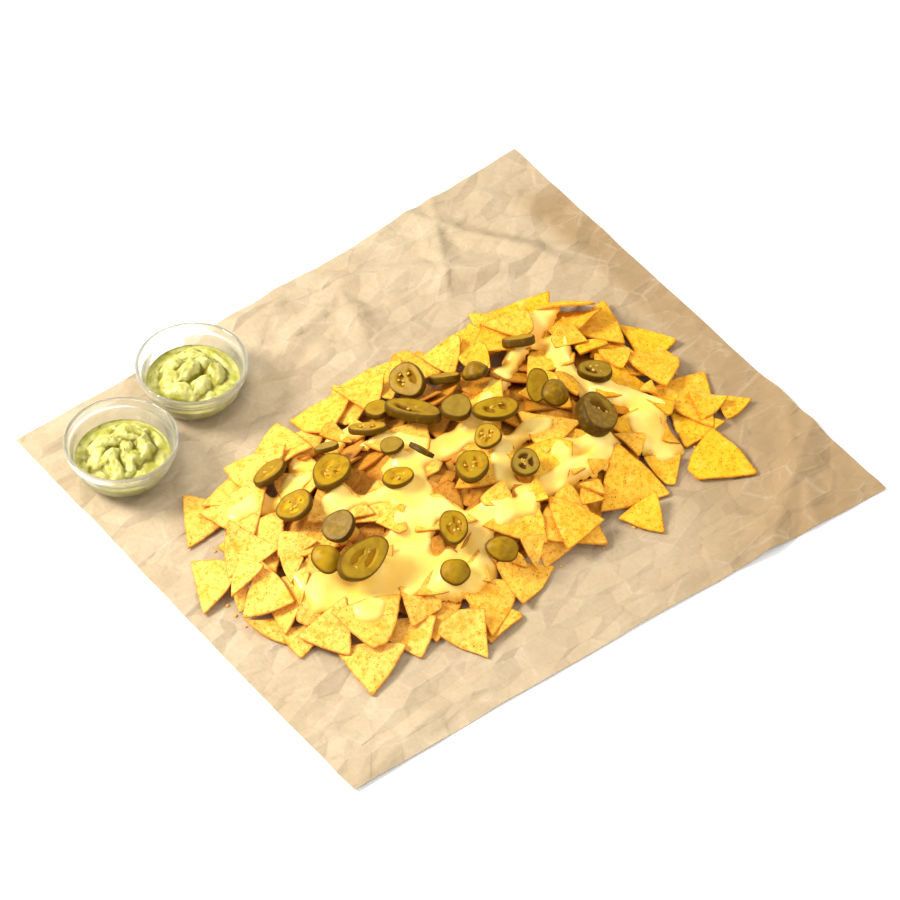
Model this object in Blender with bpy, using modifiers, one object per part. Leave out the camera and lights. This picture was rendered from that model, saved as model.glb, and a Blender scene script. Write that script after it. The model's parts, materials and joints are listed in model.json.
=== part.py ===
"""Nachos served on a sheet of baking paper.

A low heap of corn chips, covered with cheese sauce and pickled jalapeno slices, lies on a crumpled
sheet of baking paper. Two small glass pots of guacamole stand on the same sheet.

Metres, +Z up. The origin is on the table under the middle of the sheet. +X runs along the sheet's
long side and +Y along its short side, from the open front towards the corner with the pots.
"""
import itertools
import math
import random

import bmesh
import bpy
import numpy as np
from mathutils import Matrix, Vector, noise
from mathutils.bvhtree import BVHTree

MM = 0.001
GAP = 0.3 * MM
MODEL = "nachos"

# Sheet of baking paper: its four corners, its thickness, and the grid of its facets
SHEET_CORNERS = [(-209, -185), (205, -199), (215, 199), (-215, 177)]
SHEET_THICKNESS = 0.5 * MM
SHEET_CELLS = (17, 15)
SHEET_CALM_MARGIN = 26 * MM
# Each fold of the sheet: a point on it, its direction in degrees, its height and its width
FOLDS = [
    (176, 0, 90, 5.0, 15), (0, 178, 2, 3.0, 14), (150, 120, 118, 6.0, 13), (60, 150, 152, 5.0, 16),
    (-40, 130, 20, 4.0, 14), (20, 110, 75, 4.0, 13), (-190, -60, 88, 3.5, 10), (-120, -165, 12, 4.0, 12),
    (30, -170, 172, 4.5, 12), (150, -165, 35, 5.0, 14), (190, -120, 60, 4.0, 12), (100, 130, 60, 5.0, 14),
]

# Heap of chips: the mound inside it, and the chips that form its outside
HEAP_CENTRE = (-8, -26)
HEAP_HALF = (158, 90)
HEAP_HEIGHT = 20 * MM
HEAP_FULLNESS = 4
HEAP_CELLS = (14, 9)
HEAP_LUMPS = 2.5 * MM
CHIP_THICKNESS = 2.2 * MM
CHIP_BEND = 4 * MM
CHIP_SINK = 0.9 * MM
STEEPEST_CHIP = 42
# Each chip: the place of its middle, its side, the direction of one corner in degrees, and its
# width compared with its length. The lowest chips come first.
HEAP_CHIPS = [
    (-174, -55, 36, 135, 0.7), (-162, -72, 44, -4, 0.6), (-157, 46, 52, -146, 0.8), (-91, -110, 40, 1, 0.8),
    (-62, -132, 42, 99, 0.8), (0, -112, 34, -16, 0.7), (102, -101, 34, -115, 0.8), (142, -81, 46, 91, 0.8),
    (164, -6, 50, 97, 0.7), (145, -23, 36, -31, 0.9), (-92, 55, 34, -62, 0.8), (-23, 70, 46, -33, 0.8),
    (37, 68, 30, 97, 0.9), (95, 64, 34, 69, 0.8), (-158, -45, 50, -127, 0.8), (-112, -110, 48, 126, 0.7),
    (-140, -61, 56, 72, 0.9), (-58, -121, 50, -123, 0.9), (-28, -119, 46, -6, 0.8), (-94, -100, 40, -19, 0.8),
    (-146, 2, 54, -105, 0.95), (-130, 47, 50, 45, 0.9), (-75, 54, 50, 18, 0.9), (-36, 60, 40, 132, 0.9),
    (-2, 70, 50, 148, 0.8), (62, 56, 36, -2, 0.9), (103, 52, 42, 98, 0.9), (140, 4, 44, 67, 0.8),
    (133, 25, 48, -107, 0.9), (72, -100, 55, -167, 0.95), (19, -104, 56, 176, 0.95), (153, -62, 56, -97, 0.9),
    (108, -70, 52, 30, 0.9), (118, -30, 50, 80, 0.95), (-9, -90, 46, 160, 0.9), (-112, -66, 52, 15, 0.9),
    (-112, -22, 52, 70, 0.9), (-100, 20, 50, -20, 0.95), (96, 12, 52, 200, 0.9), (60, -64, 50, 100, 0.9),
]
# Chips between these and the middle, under the sauce: how many, and the oval that they lie in
MIDDLE_CHIPS = 11
MIDDLE_HALF = (100, 42)
# Chips that lie apart at the foot of the heap
LOOSE_CHIPS = [
    (-183, -2, 50, -138, 0.75), (-176, -26, 24, 94, 0.8), (-143, -113, 48, 114, 0.95), (-83, -132, 42, -94, 0.95),
    (66, -124, 34, 150, 0.95), (133, -116, 54, 179, 0.95), (172, -84, 28, -142, 0.9),
]

# Cheese sauce: bands poured over the heap, each a half width and the points it runs through
SAUCE_CELL = 10 * MM
SAUCE_THICKNESS = 3.4 * MM
SAUCE_EDGE = 1.4 * MM
SAUCE_GAP = 0.8 * MM
DRAPE_OVERLAP = 0.15
DRAPE_ROUNDS = 200
SAUCE_BANDS = [
    (11, [(118, 44), (96, 38), (64, 24), (28, 10)]),
    (15, [(112, 36), (112, 6), (98, -28), (110, -48), (118, -74)]),
    (14, [(90, -36), (60, -43), (42, -36), (14, -38)]),
    (13, [(14, -40), (3, -62), (14, -80), (52, -84), (80, -82)]),
    (15, [(38, 2), (20, -11), (-10, -8), (-40, -10), (-50, 14)]),
    (11, [(-54, 28), (-80, 32), (-106, 34), (-128, 40)]),
    (15, [(-140, -48), (-131, -71), (-113, -87), (-90, -91), (-62, -90), (-32, -86), (-6, -83)]),
    (15, [(-38, -24), (-63, -36), (-75, -65), (-88, -74)]),
    (13, [(-102, -14), (-76, -14), (-50, -22)]),
    (12, [(-120, -50), (-92, -53), (-64, -57), (-34, -49), (0, -45)]),
]

# Jalapeno slices: kind, place of the middle, length, width and thickness, direction of the length
# in degrees, and how far the slice is tipped up about its length in degrees
SLICES = [
    ("ring", 4, 45, 27, 24, 8, -80, 35), ("slice", -23, 41, 19, 17, 5, 70, 0),
    ("slice", -10, 19, 40, 22, 8, 118, 0), ("slice", 9, -2, 22, 22, 6, 142, 0),
    ("slice", 27, 34, 22, 15, 6, 153, 35), ("cap", 41, 21, 19, 18, 11, 136, 0),
    ("slice", 86, 31, 24, 17, 7, 155, 35), ("slice", 26, -21, 32, 17, 6, 154, 0),
    ("slice", 65, -14, 15, 24, 6, -38, 40), ("cap", 68, -29, 20, 19, 10, 0, 0),
    ("slice", 105, -25, 24, 17, 7, 137, 0), ("slice", 79, -58, 33, 30, 12, 52, 32),
    ("slice", 10, -32, 19, 18, 5, 0, 0), ("ring", -13, -46, 27, 23, 6, 39, 0),
    ("slice", 17, -62, 21, 19, 5, 20, 0), ("ring", -50, -75, 25, 19, 5, 67, 0),
    ("cap", -34, -105, 23, 18, 8, 132, 0), ("cap", -68, -100, 20, 19, 9, 0, 0),
    ("ring", -110, 39, 29, 20, 5, 33, 0), ("ring", -119, -2, 28, 24, 5, 129, 0),
    ("ring", -86, 5, 33, 26, 6, 33, 0), ("slice", -72, 29, 18, 12, 4, 168, 0),
    ("slice", -109, -34, 23, 22, 6, 0, 0), ("cap", -130, -51, 21, 20, 9, 90, 0),
    ("slice", -112, -65, 42, 24, 7, -168, 0), ("ring", -42, 25, 27, 14, 5, 130, 0),
    ("slice", -41, 1, 17, 14, 4, 142, 0), ("slice", -33, -20, 20, 13, 4, 104, 48),
    ("ring", -54, -23, 22, 15, 5, 161, 0),
]
SLICE_SIDES = 9
SLICE_GAP = 0.6 * MM
# Slices tipped further than this stand on edge, the others lean with what is below them
SLICE_ON_EDGE = 30
STEEPEST_SLICE = 30

# Glass pots: their middles, and the outline of half their wall from the inside to the outside
POT_PLACES = {"back": (-100, 139), "left": (-174, 111)}
POT_INSIDE = [(0, 3.2), (14, 3.4), (22, 5.6), (28.5, 12), (31.6, 21), (33.6, 25.5), (35.0, 31.2)]
POT_OUTSIDE = [
    (36.4, 31.8), (37, 30.6), (36.2, 25.2), (34.2, 23.2), (32.4, 14.5), (27.5, 6), (21, 1.4), (19, 0), (0, 0),
]
POT_STEPS = 18
DIP_CLEARANCE = 1.1 * MM
DIP_LEVEL = 21 * MM
DIP_CROWN = 3.0 * MM
DIP_LUMPS = 2.2 * MM
DIP_CELLS = 8

GRID_HALF = 232 * MM
GRID_STEP = 2 * MM


# ---- What lies on the table so far ----

class Heights:
    """The upper side of what lies on the table, as heights on a square grid."""

    def __init__(self):
        self.count = round(2 * GRID_HALF / GRID_STEP) + 1
        self.z = np.zeros((self.count, self.count))

    def place(self, index):
        return index * GRID_STEP - GRID_HALF

    def cover(self, vertices, faces):
        """Raise the grid to the upper side of a piece."""
        tree = BVHTree.FromPolygons(vertices, faces)
        spans = []
        for axis in (0, 1):
            values = [vertex[axis] for vertex in vertices]
            first = math.ceil((min(values) + GRID_HALF) / GRID_STEP)
            last = math.floor((max(values) + GRID_HALF) / GRID_STEP)
            spans.append(range(first, last + 1))
        for i, j in itertools.product(*spans):
            hit = tree.ray_cast(Vector((self.place(i), self.place(j), 1)), Vector((0, 0, -1)))[0]
            if hit is not None:
                self.z[i, j] = max(self.z[i, j], hit.z)

    def highest(self, x, y, reach):
        """The greatest height within reach of a point."""
        low = [math.floor((value - reach + GRID_HALF) / GRID_STEP) for value in (x, y)]
        high = [math.ceil((value + reach + GRID_HALF) / GRID_STEP) for value in (x, y)]
        return self.z[low[0]:high[0] + 1, low[1]:high[1] + 1].max()

    def floor(self, x, y, gap):
        """Heights that many points keep: gap above the highest of four grid points around each.

        With a negative gap the points sink in, so the mean of the four is enough.
        """
        i = np.clip(((x + GRID_HALF) / GRID_STEP).astype(int), 0, self.count - 2)
        j = np.clip(((y + GRID_HALF) / GRID_STEP).astype(int), 0, self.count - 2)
        near = [self.z[i, j], self.z[i + 1, j], self.z[i, j + 1], self.z[i + 1, j + 1]]
        return (np.max if gap > 0 else np.mean)(near, axis=0) + gap


def resting_plane(x, y, need):
    """Slopes of the lowest plane, above its middle, that no point of need stands above."""
    one, two, three = np.array(list(itertools.combinations(range(len(x)), 3))).T
    ax, ay, az = x[two] - x[one], y[two] - y[one], need[two] - need[one]
    bx, by, bz = x[three] - x[one], y[three] - y[one], need[three] - need[one]
    turn = ax * by - bx * ay
    wide = abs(turn) > (4 * MM) ** 2
    one, turn = one[wide], turn[wide]
    slope_x = (az * by - bz * ay)[wide] / turn
    slope_y = (ax * bz - bx * az)[wide] / turn
    middle = need[one] - slope_x * x[one] - slope_y * y[one]
    planes = middle[:, None] + slope_x[:, None] * x + slope_y[:, None] * y
    holds = (planes - need).min(axis=1) > -1e-7
    best = np.flatnonzero(holds)[np.argmin(middle[holds])]
    return slope_x[best], slope_y[best]


def tilt_to(slope_x, slope_y):
    """Rotation that lays a level piece on a plane of these slopes."""
    normal = Vector((-slope_x, -slope_y, 1))
    return Vector((0, 0, 1)).rotation_difference(normal).to_matrix()


def rest(points, place, turn, grounds, steepest=None):
    """Matrix that lays a piece, given by points of its underside, on the grounds below it.

    Each ground is its heights and the gap to keep above them. Without steepest the piece isn't tilted.
    """
    x0, y0 = place[0] * MM, place[1] * MM
    spin = Matrix.Rotation(math.radians(turn), 3, "Z")
    tilt = Matrix.Identity(3)

    def need():
        turned = points @ np.array(tilt @ spin).T
        x, y = turned[:, 0], turned[:, 1]
        floor = np.max([heights.floor(x0 + x, y0 + y, gap) for heights, gap in grounds], axis=0)
        return x, y, floor - turned[:, 2]

    for _ in range(4 if steepest else 0):
        tilt = tilt_to(*resting_plane(*need())) @ tilt
        lean = tilt.to_quaternion()
        if lean.angle > math.radians(steepest):
            lean = Matrix.Rotation(math.radians(steepest), 3, lean.axis)
            tilt = lean
    lift = need()[2].max()
    return Matrix.Translation((x0, y0, lift)) @ (tilt @ spin).to_4x4()


# ---- Helpers for objects and meshes ----

def collection(name):
    made = bpy.data.collections.new(name)
    bpy.context.scene.collection.children.link(made)
    return made


def material(name, colour, roughness, alpha=1.0):
    made = bpy.data.materials.new(name)
    made.use_nodes = True
    made.diffuse_color = (*colour, alpha)
    shader = made.node_tree.nodes["Principled BSDF"]
    shader.inputs["Base Color"].default_value = (*colour, 1)
    shader.inputs["Roughness"].default_value = roughness
    shader.inputs["Metallic"].default_value = 0
    shader.inputs["Alpha"].default_value = alpha
    return made


def add_object(name, bm, group, finish, matrix=None):
    mesh = bpy.data.meshes.new(name)
    bm.to_mesh(mesh)
    bm.free()
    mesh.materials.append(finish)
    made = bpy.data.objects.new(name, mesh)
    group.objects.link(made)
    if matrix is not None:
        made.matrix_world = matrix
    return made


def cover_with(heights, piece):
    """Raise heights to a piece that has no modifiers."""
    matrix = piece.matrix_world
    vertices = [matrix @ vertex.co for vertex in piece.data.vertices]
    heights.cover(vertices, [face.vertices[:] for face in piece.data.polygons])


def grid_sheet(cells, shape):
    """A sheet of cells[0] by cells[1] faces, each of its points put where shape(s, t) says."""
    bm = bmesh.new()
    bmesh.ops.create_grid(bm, x_segments=cells[0], y_segments=cells[1], size=1)
    for vertex in bm.verts:
        vertex.co = shape(vertex.co.x, vertex.co.y)
    return bm


def on_disc(s, t):
    """Move a point of the square from -1 to 1 into the circle of radius 1."""
    return s * math.sqrt(1 - t * t / 2), t * math.sqrt(1 - s * s / 2)


def close_sheet(bm, upper):
    """Close an open sheet with a copy of it whose heights upper(vertex) gives."""
    made = bmesh.ops.extrude_face_region(bm, geom=bm.faces[:], use_keep_orig=True)
    for vertex in [part for part in made["geom"] if isinstance(part, bmesh.types.BMVert)]:
        vertex.co.z = upper(vertex)
    bmesh.ops.recalc_face_normals(bm, faces=bm.faces[:])


def turned_solid(profile, steps):
    """A solid of revolution around Z, from a profile whose ends are on the axis or that is closed."""
    bm = bmesh.new()
    points = [bm.verts.new((radius, 0, z)) for radius, z in profile]
    pairs = list(zip(points, points[1:]))
    if profile[0][0] > 0:
        pairs.append((points[-1], points[0]))
    edges = [bm.edges.new(pair) for pair in pairs]
    bmesh.ops.spin(bm, geom=points + edges, axis=(0, 0, 1), angle=math.tau, steps=steps)
    bmesh.ops.remove_doubles(bm, verts=bm.verts[:], dist=0.01 * MM)
    bmesh.ops.recalc_face_normals(bm, faces=bm.faces[:])
    return bm


def outer_skin(joined):
    """Apply an object's modifiers and keep only its outer surface, so that no hollow stays inside."""
    evaluated = joined.evaluated_get(bpy.context.evaluated_depsgraph_get())
    mesh = bpy.data.meshes.new_from_object(evaluated)
    joined.modifiers.clear()
    joined.data = mesh
    bm = bmesh.new()
    bm.from_mesh(mesh)
    waiting = set(bm.verts)
    shells = []
    while waiting:
        shell = {waiting.pop()}
        edge_of_shell = list(shell)
        while edge_of_shell:
            near = {edge.other_vert(vertex) for vertex in edge_of_shell for edge in vertex.link_edges}
            edge_of_shell = list(near & waiting)
            waiting.difference_update(edge_of_shell)
            shell.update(edge_of_shell)
        shells.append(shell)
    largest = max(shells, key=len)
    inner = [vertex for shell in shells if shell is not largest for vertex in shell]
    bmesh.ops.delete(bm, geom=inner, context="VERTS")
    bm.to_mesh(mesh)
    bm.free()


def smooth_step(value, low, high):
    t = min(1, max(0, (value - low) / (high - low)))
    return t * t * (3 - 2 * t)


# ---- Sheet of baking paper ----

def outside_food(x, y):
    """Distance from the heap's foot or the nearer pot's foot, negative inside."""
    hx = (x / MM + 12) / 205
    hy = (y / MM + 32) / 132
    oval = (abs(hx) ** 2.6 + abs(hy) ** 2.6) ** (1 / 2.6)
    away = (oval - 1) * 130 * MM
    for px, py in POT_PLACES.values():
        away = min(away, math.hypot(x - px * MM, y - py * MM) - 24 * MM)
    return away


def sheet_height(x, y):
    """Height of the sheet's underside: flat under the food, folded in the margins."""
    calm = smooth_step(outside_food(x, y), 0, SHEET_CALM_MARGIN)
    rise = 0
    for fx, fy, direction, height, width in FOLDS:
        angle = math.radians(direction)
        across = (y - fy * MM) * math.cos(angle) - (x - fx * MM) * math.sin(angle)
        along = (x - fx * MM) * math.cos(angle) + (y - fy * MM) * math.sin(angle)
        ridge = max(0, 1 - abs(across) / (width * MM))
        ends = max(0, 1 - (along / (110 * MM)) ** 2)
        rise = max(rise, height * MM * ridge * ends)
    return calm * rise


def sheet_shape(s, t):
    """A point of the sheet, from -1 to 1 along its long and its short side."""
    low_left, low_right, high_right, high_left = [Vector(corner) * MM for corner in SHEET_CORNERS]
    front = low_left.lerp(low_right, (s + 1) / 2)
    back = high_left.lerp(high_right, (s + 1) / 2)
    x, y = front.lerp(back, (t + 1) / 2)
    # The long edges bow in by a few millimetres in the middle
    y += (-1 if t > 0 else 1) * abs(t) ** 4 * 2.5 * MM * (1 - s * s)
    return Vector((x, y, sheet_height(x, y)))


def build_sheet(group):
    bm = grid_sheet(SHEET_CELLS, sheet_shape)
    close_sheet(bm, lambda vertex: vertex.co.z + SHEET_THICKNESS)
    return add_object("paper_sheet", bm, group, material("baking_paper", (0.72, 0.50, 0.28), 0.6))


# ---- Chips ----

def chip_bend(u, v, side, direction, depth):
    """Height of a bent chip at u, v: a shallow trough or arch across one direction."""
    across = (u * math.cos(direction) + v * math.sin(direction)) / side
    return depth * (0.16 - 4 * across * across)


def chip_mesh(side, slim, direction, depth, rng):
    """A three-cornered corn chip with slightly bowed sides."""
    bm = bmesh.new()
    bmesh.ops.create_circle(bm, cap_ends=True, segments=6, radius=1)
    for index, vertex in enumerate(bm.verts):
        angle = math.tau * index / 6
        corner = side / math.sqrt(3)
        reach = corner * rng.uniform(0.92, 1.0) if index % 2 == 0 else corner / 2 * rng.uniform(1.0, 1.2)
        vertex.co = Vector((reach * math.cos(angle), reach * math.sin(angle) * slim, 0))
    bmesh.ops.poke(bm, faces=bm.faces[:])
    for vertex in bm.verts:
        vertex.co.z = chip_bend(vertex.co.x, vertex.co.y, side, direction, depth) - CHIP_THICKNESS / 2
    close_sheet(bm, lambda vertex: vertex.co.z + CHIP_THICKNESS)
    return bm


def underside(bm, whole=False):
    """Points spread over the lower faces of a mesh, or over all of its faces."""
    bm.normal_update()
    points = []
    for face in bm.faces:
        if whole or face.normal.z < -0.3:
            points.append(face.calc_center_median())
            points += [vertex.co for vertex in face.verts]
            points += [edge.verts[0].co.lerp(edge.verts[1].co, 0.5) for edge in face.edges]
    unique = {tuple(round(value, 6) for value in point) for point in points}
    return np.array(sorted(unique))


def build_chip(name, row, rng, grounds, group, finish):
    x, y, side, turn, slim = row
    direction = rng.uniform(0, math.pi)
    depth = rng.uniform(-1, 1) * CHIP_BEND
    bm = chip_mesh(side * MM, slim, direction, depth, rng)
    matrix = rest(underside(bm), (x, y), turn, grounds, STEEPEST_CHIP)
    return add_object(name, bm, group, finish, matrix)


def mound_shape(s, t):
    """A point of the mound inside the heap."""
    x, y = on_disc(s, t)
    out = min(1, math.hypot(x, y))
    px = (HEAP_CENTRE[0] + HEAP_HALF[0] * x) * MM
    py = (HEAP_CENTRE[1] + HEAP_HALF[1] * y) * MM
    lump = noise.noise(Vector((px, py, 0)) / (38 * MM)) * HEAP_LUMPS
    return px, py, (1 - out ** HEAP_FULLNESS) * (HEAP_HEIGHT + lump) + 2.5 * MM


def build_heap(ground, group, rng):
    """The mound with every chip of the heap sunk a little into what is below it, as one solid."""
    cutters = collection("heap_pieces")
    finish = material("corn_chip", (0.93, 0.55, 0.12), 0.7)
    base = SHEET_THICKNESS + GAP
    bm = grid_sheet(HEAP_CELLS, lambda s, t: Vector((*mound_shape(s, t)[:2], base)))
    tops = {(round(px, 6), round(py, 6)): z for px, py, z in
            (mound_shape(2 * i / HEAP_CELLS[0] - 1, 2 * j / HEAP_CELLS[1] - 1)
             for i in range(HEAP_CELLS[0] + 1) for j in range(HEAP_CELLS[1] + 1))}
    close_sheet(bm, lambda vertex: base + min(tops.items(), key=lambda item: math.hypot(
        item[0][0] - vertex.co.x, item[0][1] - vertex.co.y))[1])
    heap = add_object("chip_heap", bm, group, finish)
    heap_heights = Heights()
    cover_with(heap_heights, heap)
    grounds = [(ground, GAP), (heap_heights, -CHIP_SINK)]
    rows = list(HEAP_CHIPS)
    for index in range(MIDDLE_CHIPS):
        angle = index * 2.4
        out = math.sqrt((index + 0.5) / MIDDLE_CHIPS)
        place = [HEAP_CENTRE[k] + MIDDLE_HALF[k] * out * (math.cos, math.sin)[k](angle) for k in (0, 1)]
        rows.append((*place, rng.uniform(44, 54), rng.uniform(0, 360), rng.uniform(0.8, 1)))
    for index, row in enumerate(rows):
        chip = build_chip(f"heap_piece_{index:02d}", row, rng, grounds, cutters, finish)
        cover_with(heap_heights, chip)
    union = heap.modifiers.new("chips", "BOOLEAN")
    union.operation = "UNION"
    union.solver = "EXACT"
    union.operand_type = "COLLECTION"
    union.collection = cutters
    outer_skin(heap)
    for chip in list(cutters.objects):
        bpy.data.objects.remove(chip)
    bpy.data.collections.remove(cutters)
    return heap_heights, finish


def build_loose_chips(ground, heap_heights, group, finish, rng):
    for index, row in enumerate(LOOSE_CHIPS, 1):
        chip = build_chip(f"loose_chip_{index}", row, rng, [(ground, GAP), (heap_heights, GAP)], group, finish)
        cover_with(heap_heights, chip)


# ---- Cheese sauce ----

def distance_to_band(x, y, points):
    """Distance from a point to a line through points, all in millimetres."""
    nearest = math.inf
    for (ax, ay), (bx, by) in zip(points, points[1:]):
        dx, dy = bx - ax, by - ay
        t = min(1, max(0, ((x - ax) * dx + (y - ay) * dy) / (dx * dx + dy * dy)))
        nearest = min(nearest, math.hypot(x - ax - t * dx, y - ay - t * dy))
    return nearest


def sauce_inside(x, y):
    """How far inside the sauce's edge a point is, negative outside."""
    return max(half - distance_to_band(x / MM, y / MM, points) for half, points in SAUCE_BANDS) * MM


def drape(bm, heap_heights):
    """Lower a sheet of triangles onto the heap until no height of the grid comes nearer than the gap."""
    bm.verts.ensure_lookup_table()
    bm.verts.index_update()
    owners, shares, needs = [], [], []
    for face in bm.faces:
        a, b, c = [vertex.co.xy for vertex in face.verts]
        low = [math.ceil((min(p[k] for p in (a, b, c)) + GRID_HALF) / GRID_STEP) - 1 for k in (0, 1)]
        high = [math.floor((max(p[k] for p in (a, b, c)) + GRID_HALF) / GRID_STEP) + 1 for k in (0, 1)]
        area = (b - a).cross(c - a)
        for i, j in itertools.product(range(low[0], high[0] + 1), range(low[1], high[1] + 1)):
            spot = Vector((heap_heights.place(i), heap_heights.place(j)))
            corners = ((b, c), (c, a), (a, b))
            share = [(end - start).cross(spot - start) / area for start, end in corners]
            if min(share) > -DRAPE_OVERLAP:
                owners.append([vertex.index for vertex in face.verts])
                shares.append(share)
                needs.append(heap_heights.z[i - 1:i + 2, j - 1:j + 2].max() + SAUCE_GAP)
    owners, shares, needs = np.array(owners), np.array(shares), np.array(needs)
    heights = np.array([heap_heights.highest(*vertex.co.xy, GRID_STEP / 2) + SAUCE_GAP for vertex in bm.verts])
    for _ in range(DRAPE_ROUNDS):
        short = np.maximum(0, needs - (heights[owners] * shares).sum(axis=1))
        lift = short[:, None] * np.clip(shares, 0, 1) / (shares ** 2).sum(axis=1)[:, None]
        raised = np.zeros_like(heights)
        np.maximum.at(raised, owners, lift)
        heights += raised / 2
    for vertex in bm.verts:
        vertex.co.z = heights[vertex.index]


def build_sauce(heap_heights, group):
    """A sheet draped over the heap: its underside clears the chips, its rim is thin."""
    reach = 168 * MM
    cells = round(2 * reach / SAUCE_CELL)
    bm = grid_sheet((cells, cells), lambda s, t: Vector((s * reach, t * reach - 28 * MM, 0)))
    outside = [face for face in bm.faces if sauce_inside(*face.calc_center_median()[:2]) < 0]
    while outside:
        bmesh.ops.delete(bm, geom=outside, context="FACES")
        # Where two faces meet only at a corner, one of them goes
        pinched = [vertex for vertex in bm.verts if sum(edge.is_boundary for edge in vertex.link_edges) > 2]
        outside = [pinched[0].link_faces[0]] if pinched else []
    for vertex in bm.verts:
        x, y = vertex.co.xy
        if vertex.is_boundary:
            # Pull the stepped rim towards the smooth edge of the bands
            step = 0.5 * MM
            inside = sauce_inside(x, y)
            slope = Vector((sauce_inside(x + step, y) - inside, sauce_inside(x, y + step) - inside)) / step
            shift = max(-0.4, min(0.4, -inside / SAUCE_CELL)) * SAUCE_CELL
            x, y = Vector((x, y)) + slope * shift
        vertex.co = Vector((x, y, 0))
    bmesh.ops.triangulate(bm, faces=bm.faces[:])
    drape(bm, heap_heights)

    def upper(vertex):
        inside = smooth_step(sauce_inside(vertex.co.x, vertex.co.y), -2 * MM, 9 * MM)
        return vertex.co.z + SAUCE_EDGE + (SAUCE_THICKNESS - SAUCE_EDGE) * inside

    close_sheet(bm, upper)
    sauce = add_object("cheese_sauce", bm, group, material("cheese_sauce", (0.96, 0.72, 0.20), 0.3))
    cover_with(heap_heights, sauce)


# ---- Jalapeno slices ----

def slice_profile(kind, thickness):
    """Half outline of a slice of radius 1, from its upper middle to its lower middle."""
    half = thickness / 2
    if kind == "ring":
        return [(0.45, -0.5 * half), (0.5, 0.7 * half), (0.82, half), (1, 0.1 * half), (0.9, -half), (0.6, -half)]
    if kind == "cap":
        return [(0, half), (0.5, 0.7 * half), (0.88, 0), (1, -0.6 * half), (0.92, -half), (0, -half)]
    return [(0, 0.55 * half), (0.55, 0.6 * half), (0.84, half), (1, 0.1 * half), (0.9, -half), (0, -half)]


def build_slice(name, row, heap_heights, group, finish):
    kind, x, y, length, width, thickness, turn, tip = row
    bm = turned_solid([(radius, z * MM) for radius, z in slice_profile(kind, thickness)], SLICE_SIDES)
    size = Matrix.Diagonal((length / 2 * MM, width / 2 * MM, 1, 1))
    tipped = Matrix.Rotation(math.radians(tip), 4, "X")
    bmesh.ops.transform(bm, matrix=tipped @ size, verts=bm.verts[:])
    on_edge = tip > SLICE_ON_EDGE
    steepest = None if on_edge else STEEPEST_SLICE
    matrix = rest(underside(bm, on_edge), (x, y), turn, [(heap_heights, SLICE_GAP)], steepest)
    made = add_object(name, bm, group, finish, matrix)
    cover_with(heap_heights, made)


# ---- Glass pots and guacamole ----

def pot_wall_height(radius):
    """Height of the pot's inside at a radius, in millimetres."""
    for (r0, z0), (r1, z1) in zip(POT_INSIDE, POT_INSIDE[1:]):
        if radius <= r1:
            return z0 + (z1 - z0) * (radius - r0) / (r1 - r0)
    return POT_INSIDE[-1][1]


def pot_inner_radius(level):
    """Radius of the pot's inside at a height, in millimetres."""
    for (r0, z0), (r1, z1) in zip(POT_INSIDE, POT_INSIDE[1:]):
        if level <= z1:
            return r0 + (r1 - r0) * (level - z0) / (z1 - z0)
    return POT_INSIDE[-1][0]


def build_pot(side, base, group, finish):
    x, y = POT_PLACES[side]
    bm = bmesh.new()
    points = [bm.verts.new((radius * MM, 0, z * MM)) for radius, z in POT_INSIDE + POT_OUTSIDE]
    for pair in zip(points, points[1:]):
        bm.edges.new(pair)
    pot = add_object(f"glass_pot_{side}", bm, group, finish, Matrix.Translation((x * MM, y * MM, base)))
    turn = pot.modifiers.new("turn", "SCREW")
    turn.steps = POT_STEPS
    turn.render_steps = POT_STEPS
    turn.use_merge_vertices = True
    turn.merge_threshold = 0.0001
    turn.use_normal_calculate = False


def build_dip(side, base, group, finish):
    """Guacamole from the pot's floor up to a lumpy crown."""
    x, y = POT_PLACES[side]
    rim = pot_inner_radius(DIP_LEVEL / MM) * MM - DIP_CLEARANCE

    def floor(s, t):
        dx, dy = on_disc(s, t)
        px, py = dx * rim, dy * rim
        out = math.hypot(px, py) + DIP_CLEARANCE
        return Vector((px, py, pot_wall_height(out / MM) * MM + GAP))

    def top(vertex):
        out = min(1, vertex.co.xy.length / rim)
        spot = Vector((vertex.co.x + x * MM, vertex.co.y + y * MM, 0)) / (11 * MM)
        lump = noise.noise(spot) * DIP_LUMPS
        return max(vertex.co.z + 0.5 * MM, DIP_LEVEL + (1 - out * out) * DIP_CROWN + lump * (1 - 0.7 * out ** 4))

    bm = grid_sheet((DIP_CELLS, DIP_CELLS), floor)
    close_sheet(bm, top)
    add_object(f"guacamole_{side}", bm, group, finish, Matrix.Translation((x * MM, y * MM, base)))


def main():
    for old in list(bpy.context.scene.objects):
        bpy.data.objects.remove(old)
    rng = random.Random(7)
    group = collection(MODEL)
    sheet = build_sheet(group)
    ground = Heights()
    cover_with(ground, sheet)

    heap_heights, chip_finish = build_heap(ground, group, rng)
    build_loose_chips(ground, heap_heights, group, chip_finish, rng)
    build_sauce(heap_heights, group)

    pepper = material("jalapeno", (0.36, 0.33, 0.05), 0.35)
    for index, row in enumerate(SLICES, 1):
        build_slice(f"jalapeno_{index:02d}", row, heap_heights, group, pepper)

    glass = material("clear_glass", (0.95, 0.97, 0.95), 0.05, alpha=0.35)
    dip = material("guacamole", (0.66, 0.66, 0.22), 0.5)
    base = SHEET_THICKNESS + GAP
    for side in POT_PLACES:
        build_pot(side, base, group, glass)
        build_dip(side, base, group, dip)


main()
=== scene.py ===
# %% [markdown]
# # Nachos on baking paper
# A low heap of corn chips lies on a crumpled sheet of brown baking paper. Warm cheese sauce runs
# over it, pickled jalapeno slices lie on top, and two small glass pots of guacamole stand behind
# the heap's left end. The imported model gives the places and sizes. This file gives the finish, and
# adds what would be too many or too small for solids: more chips, seeds and crumbs.

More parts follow.
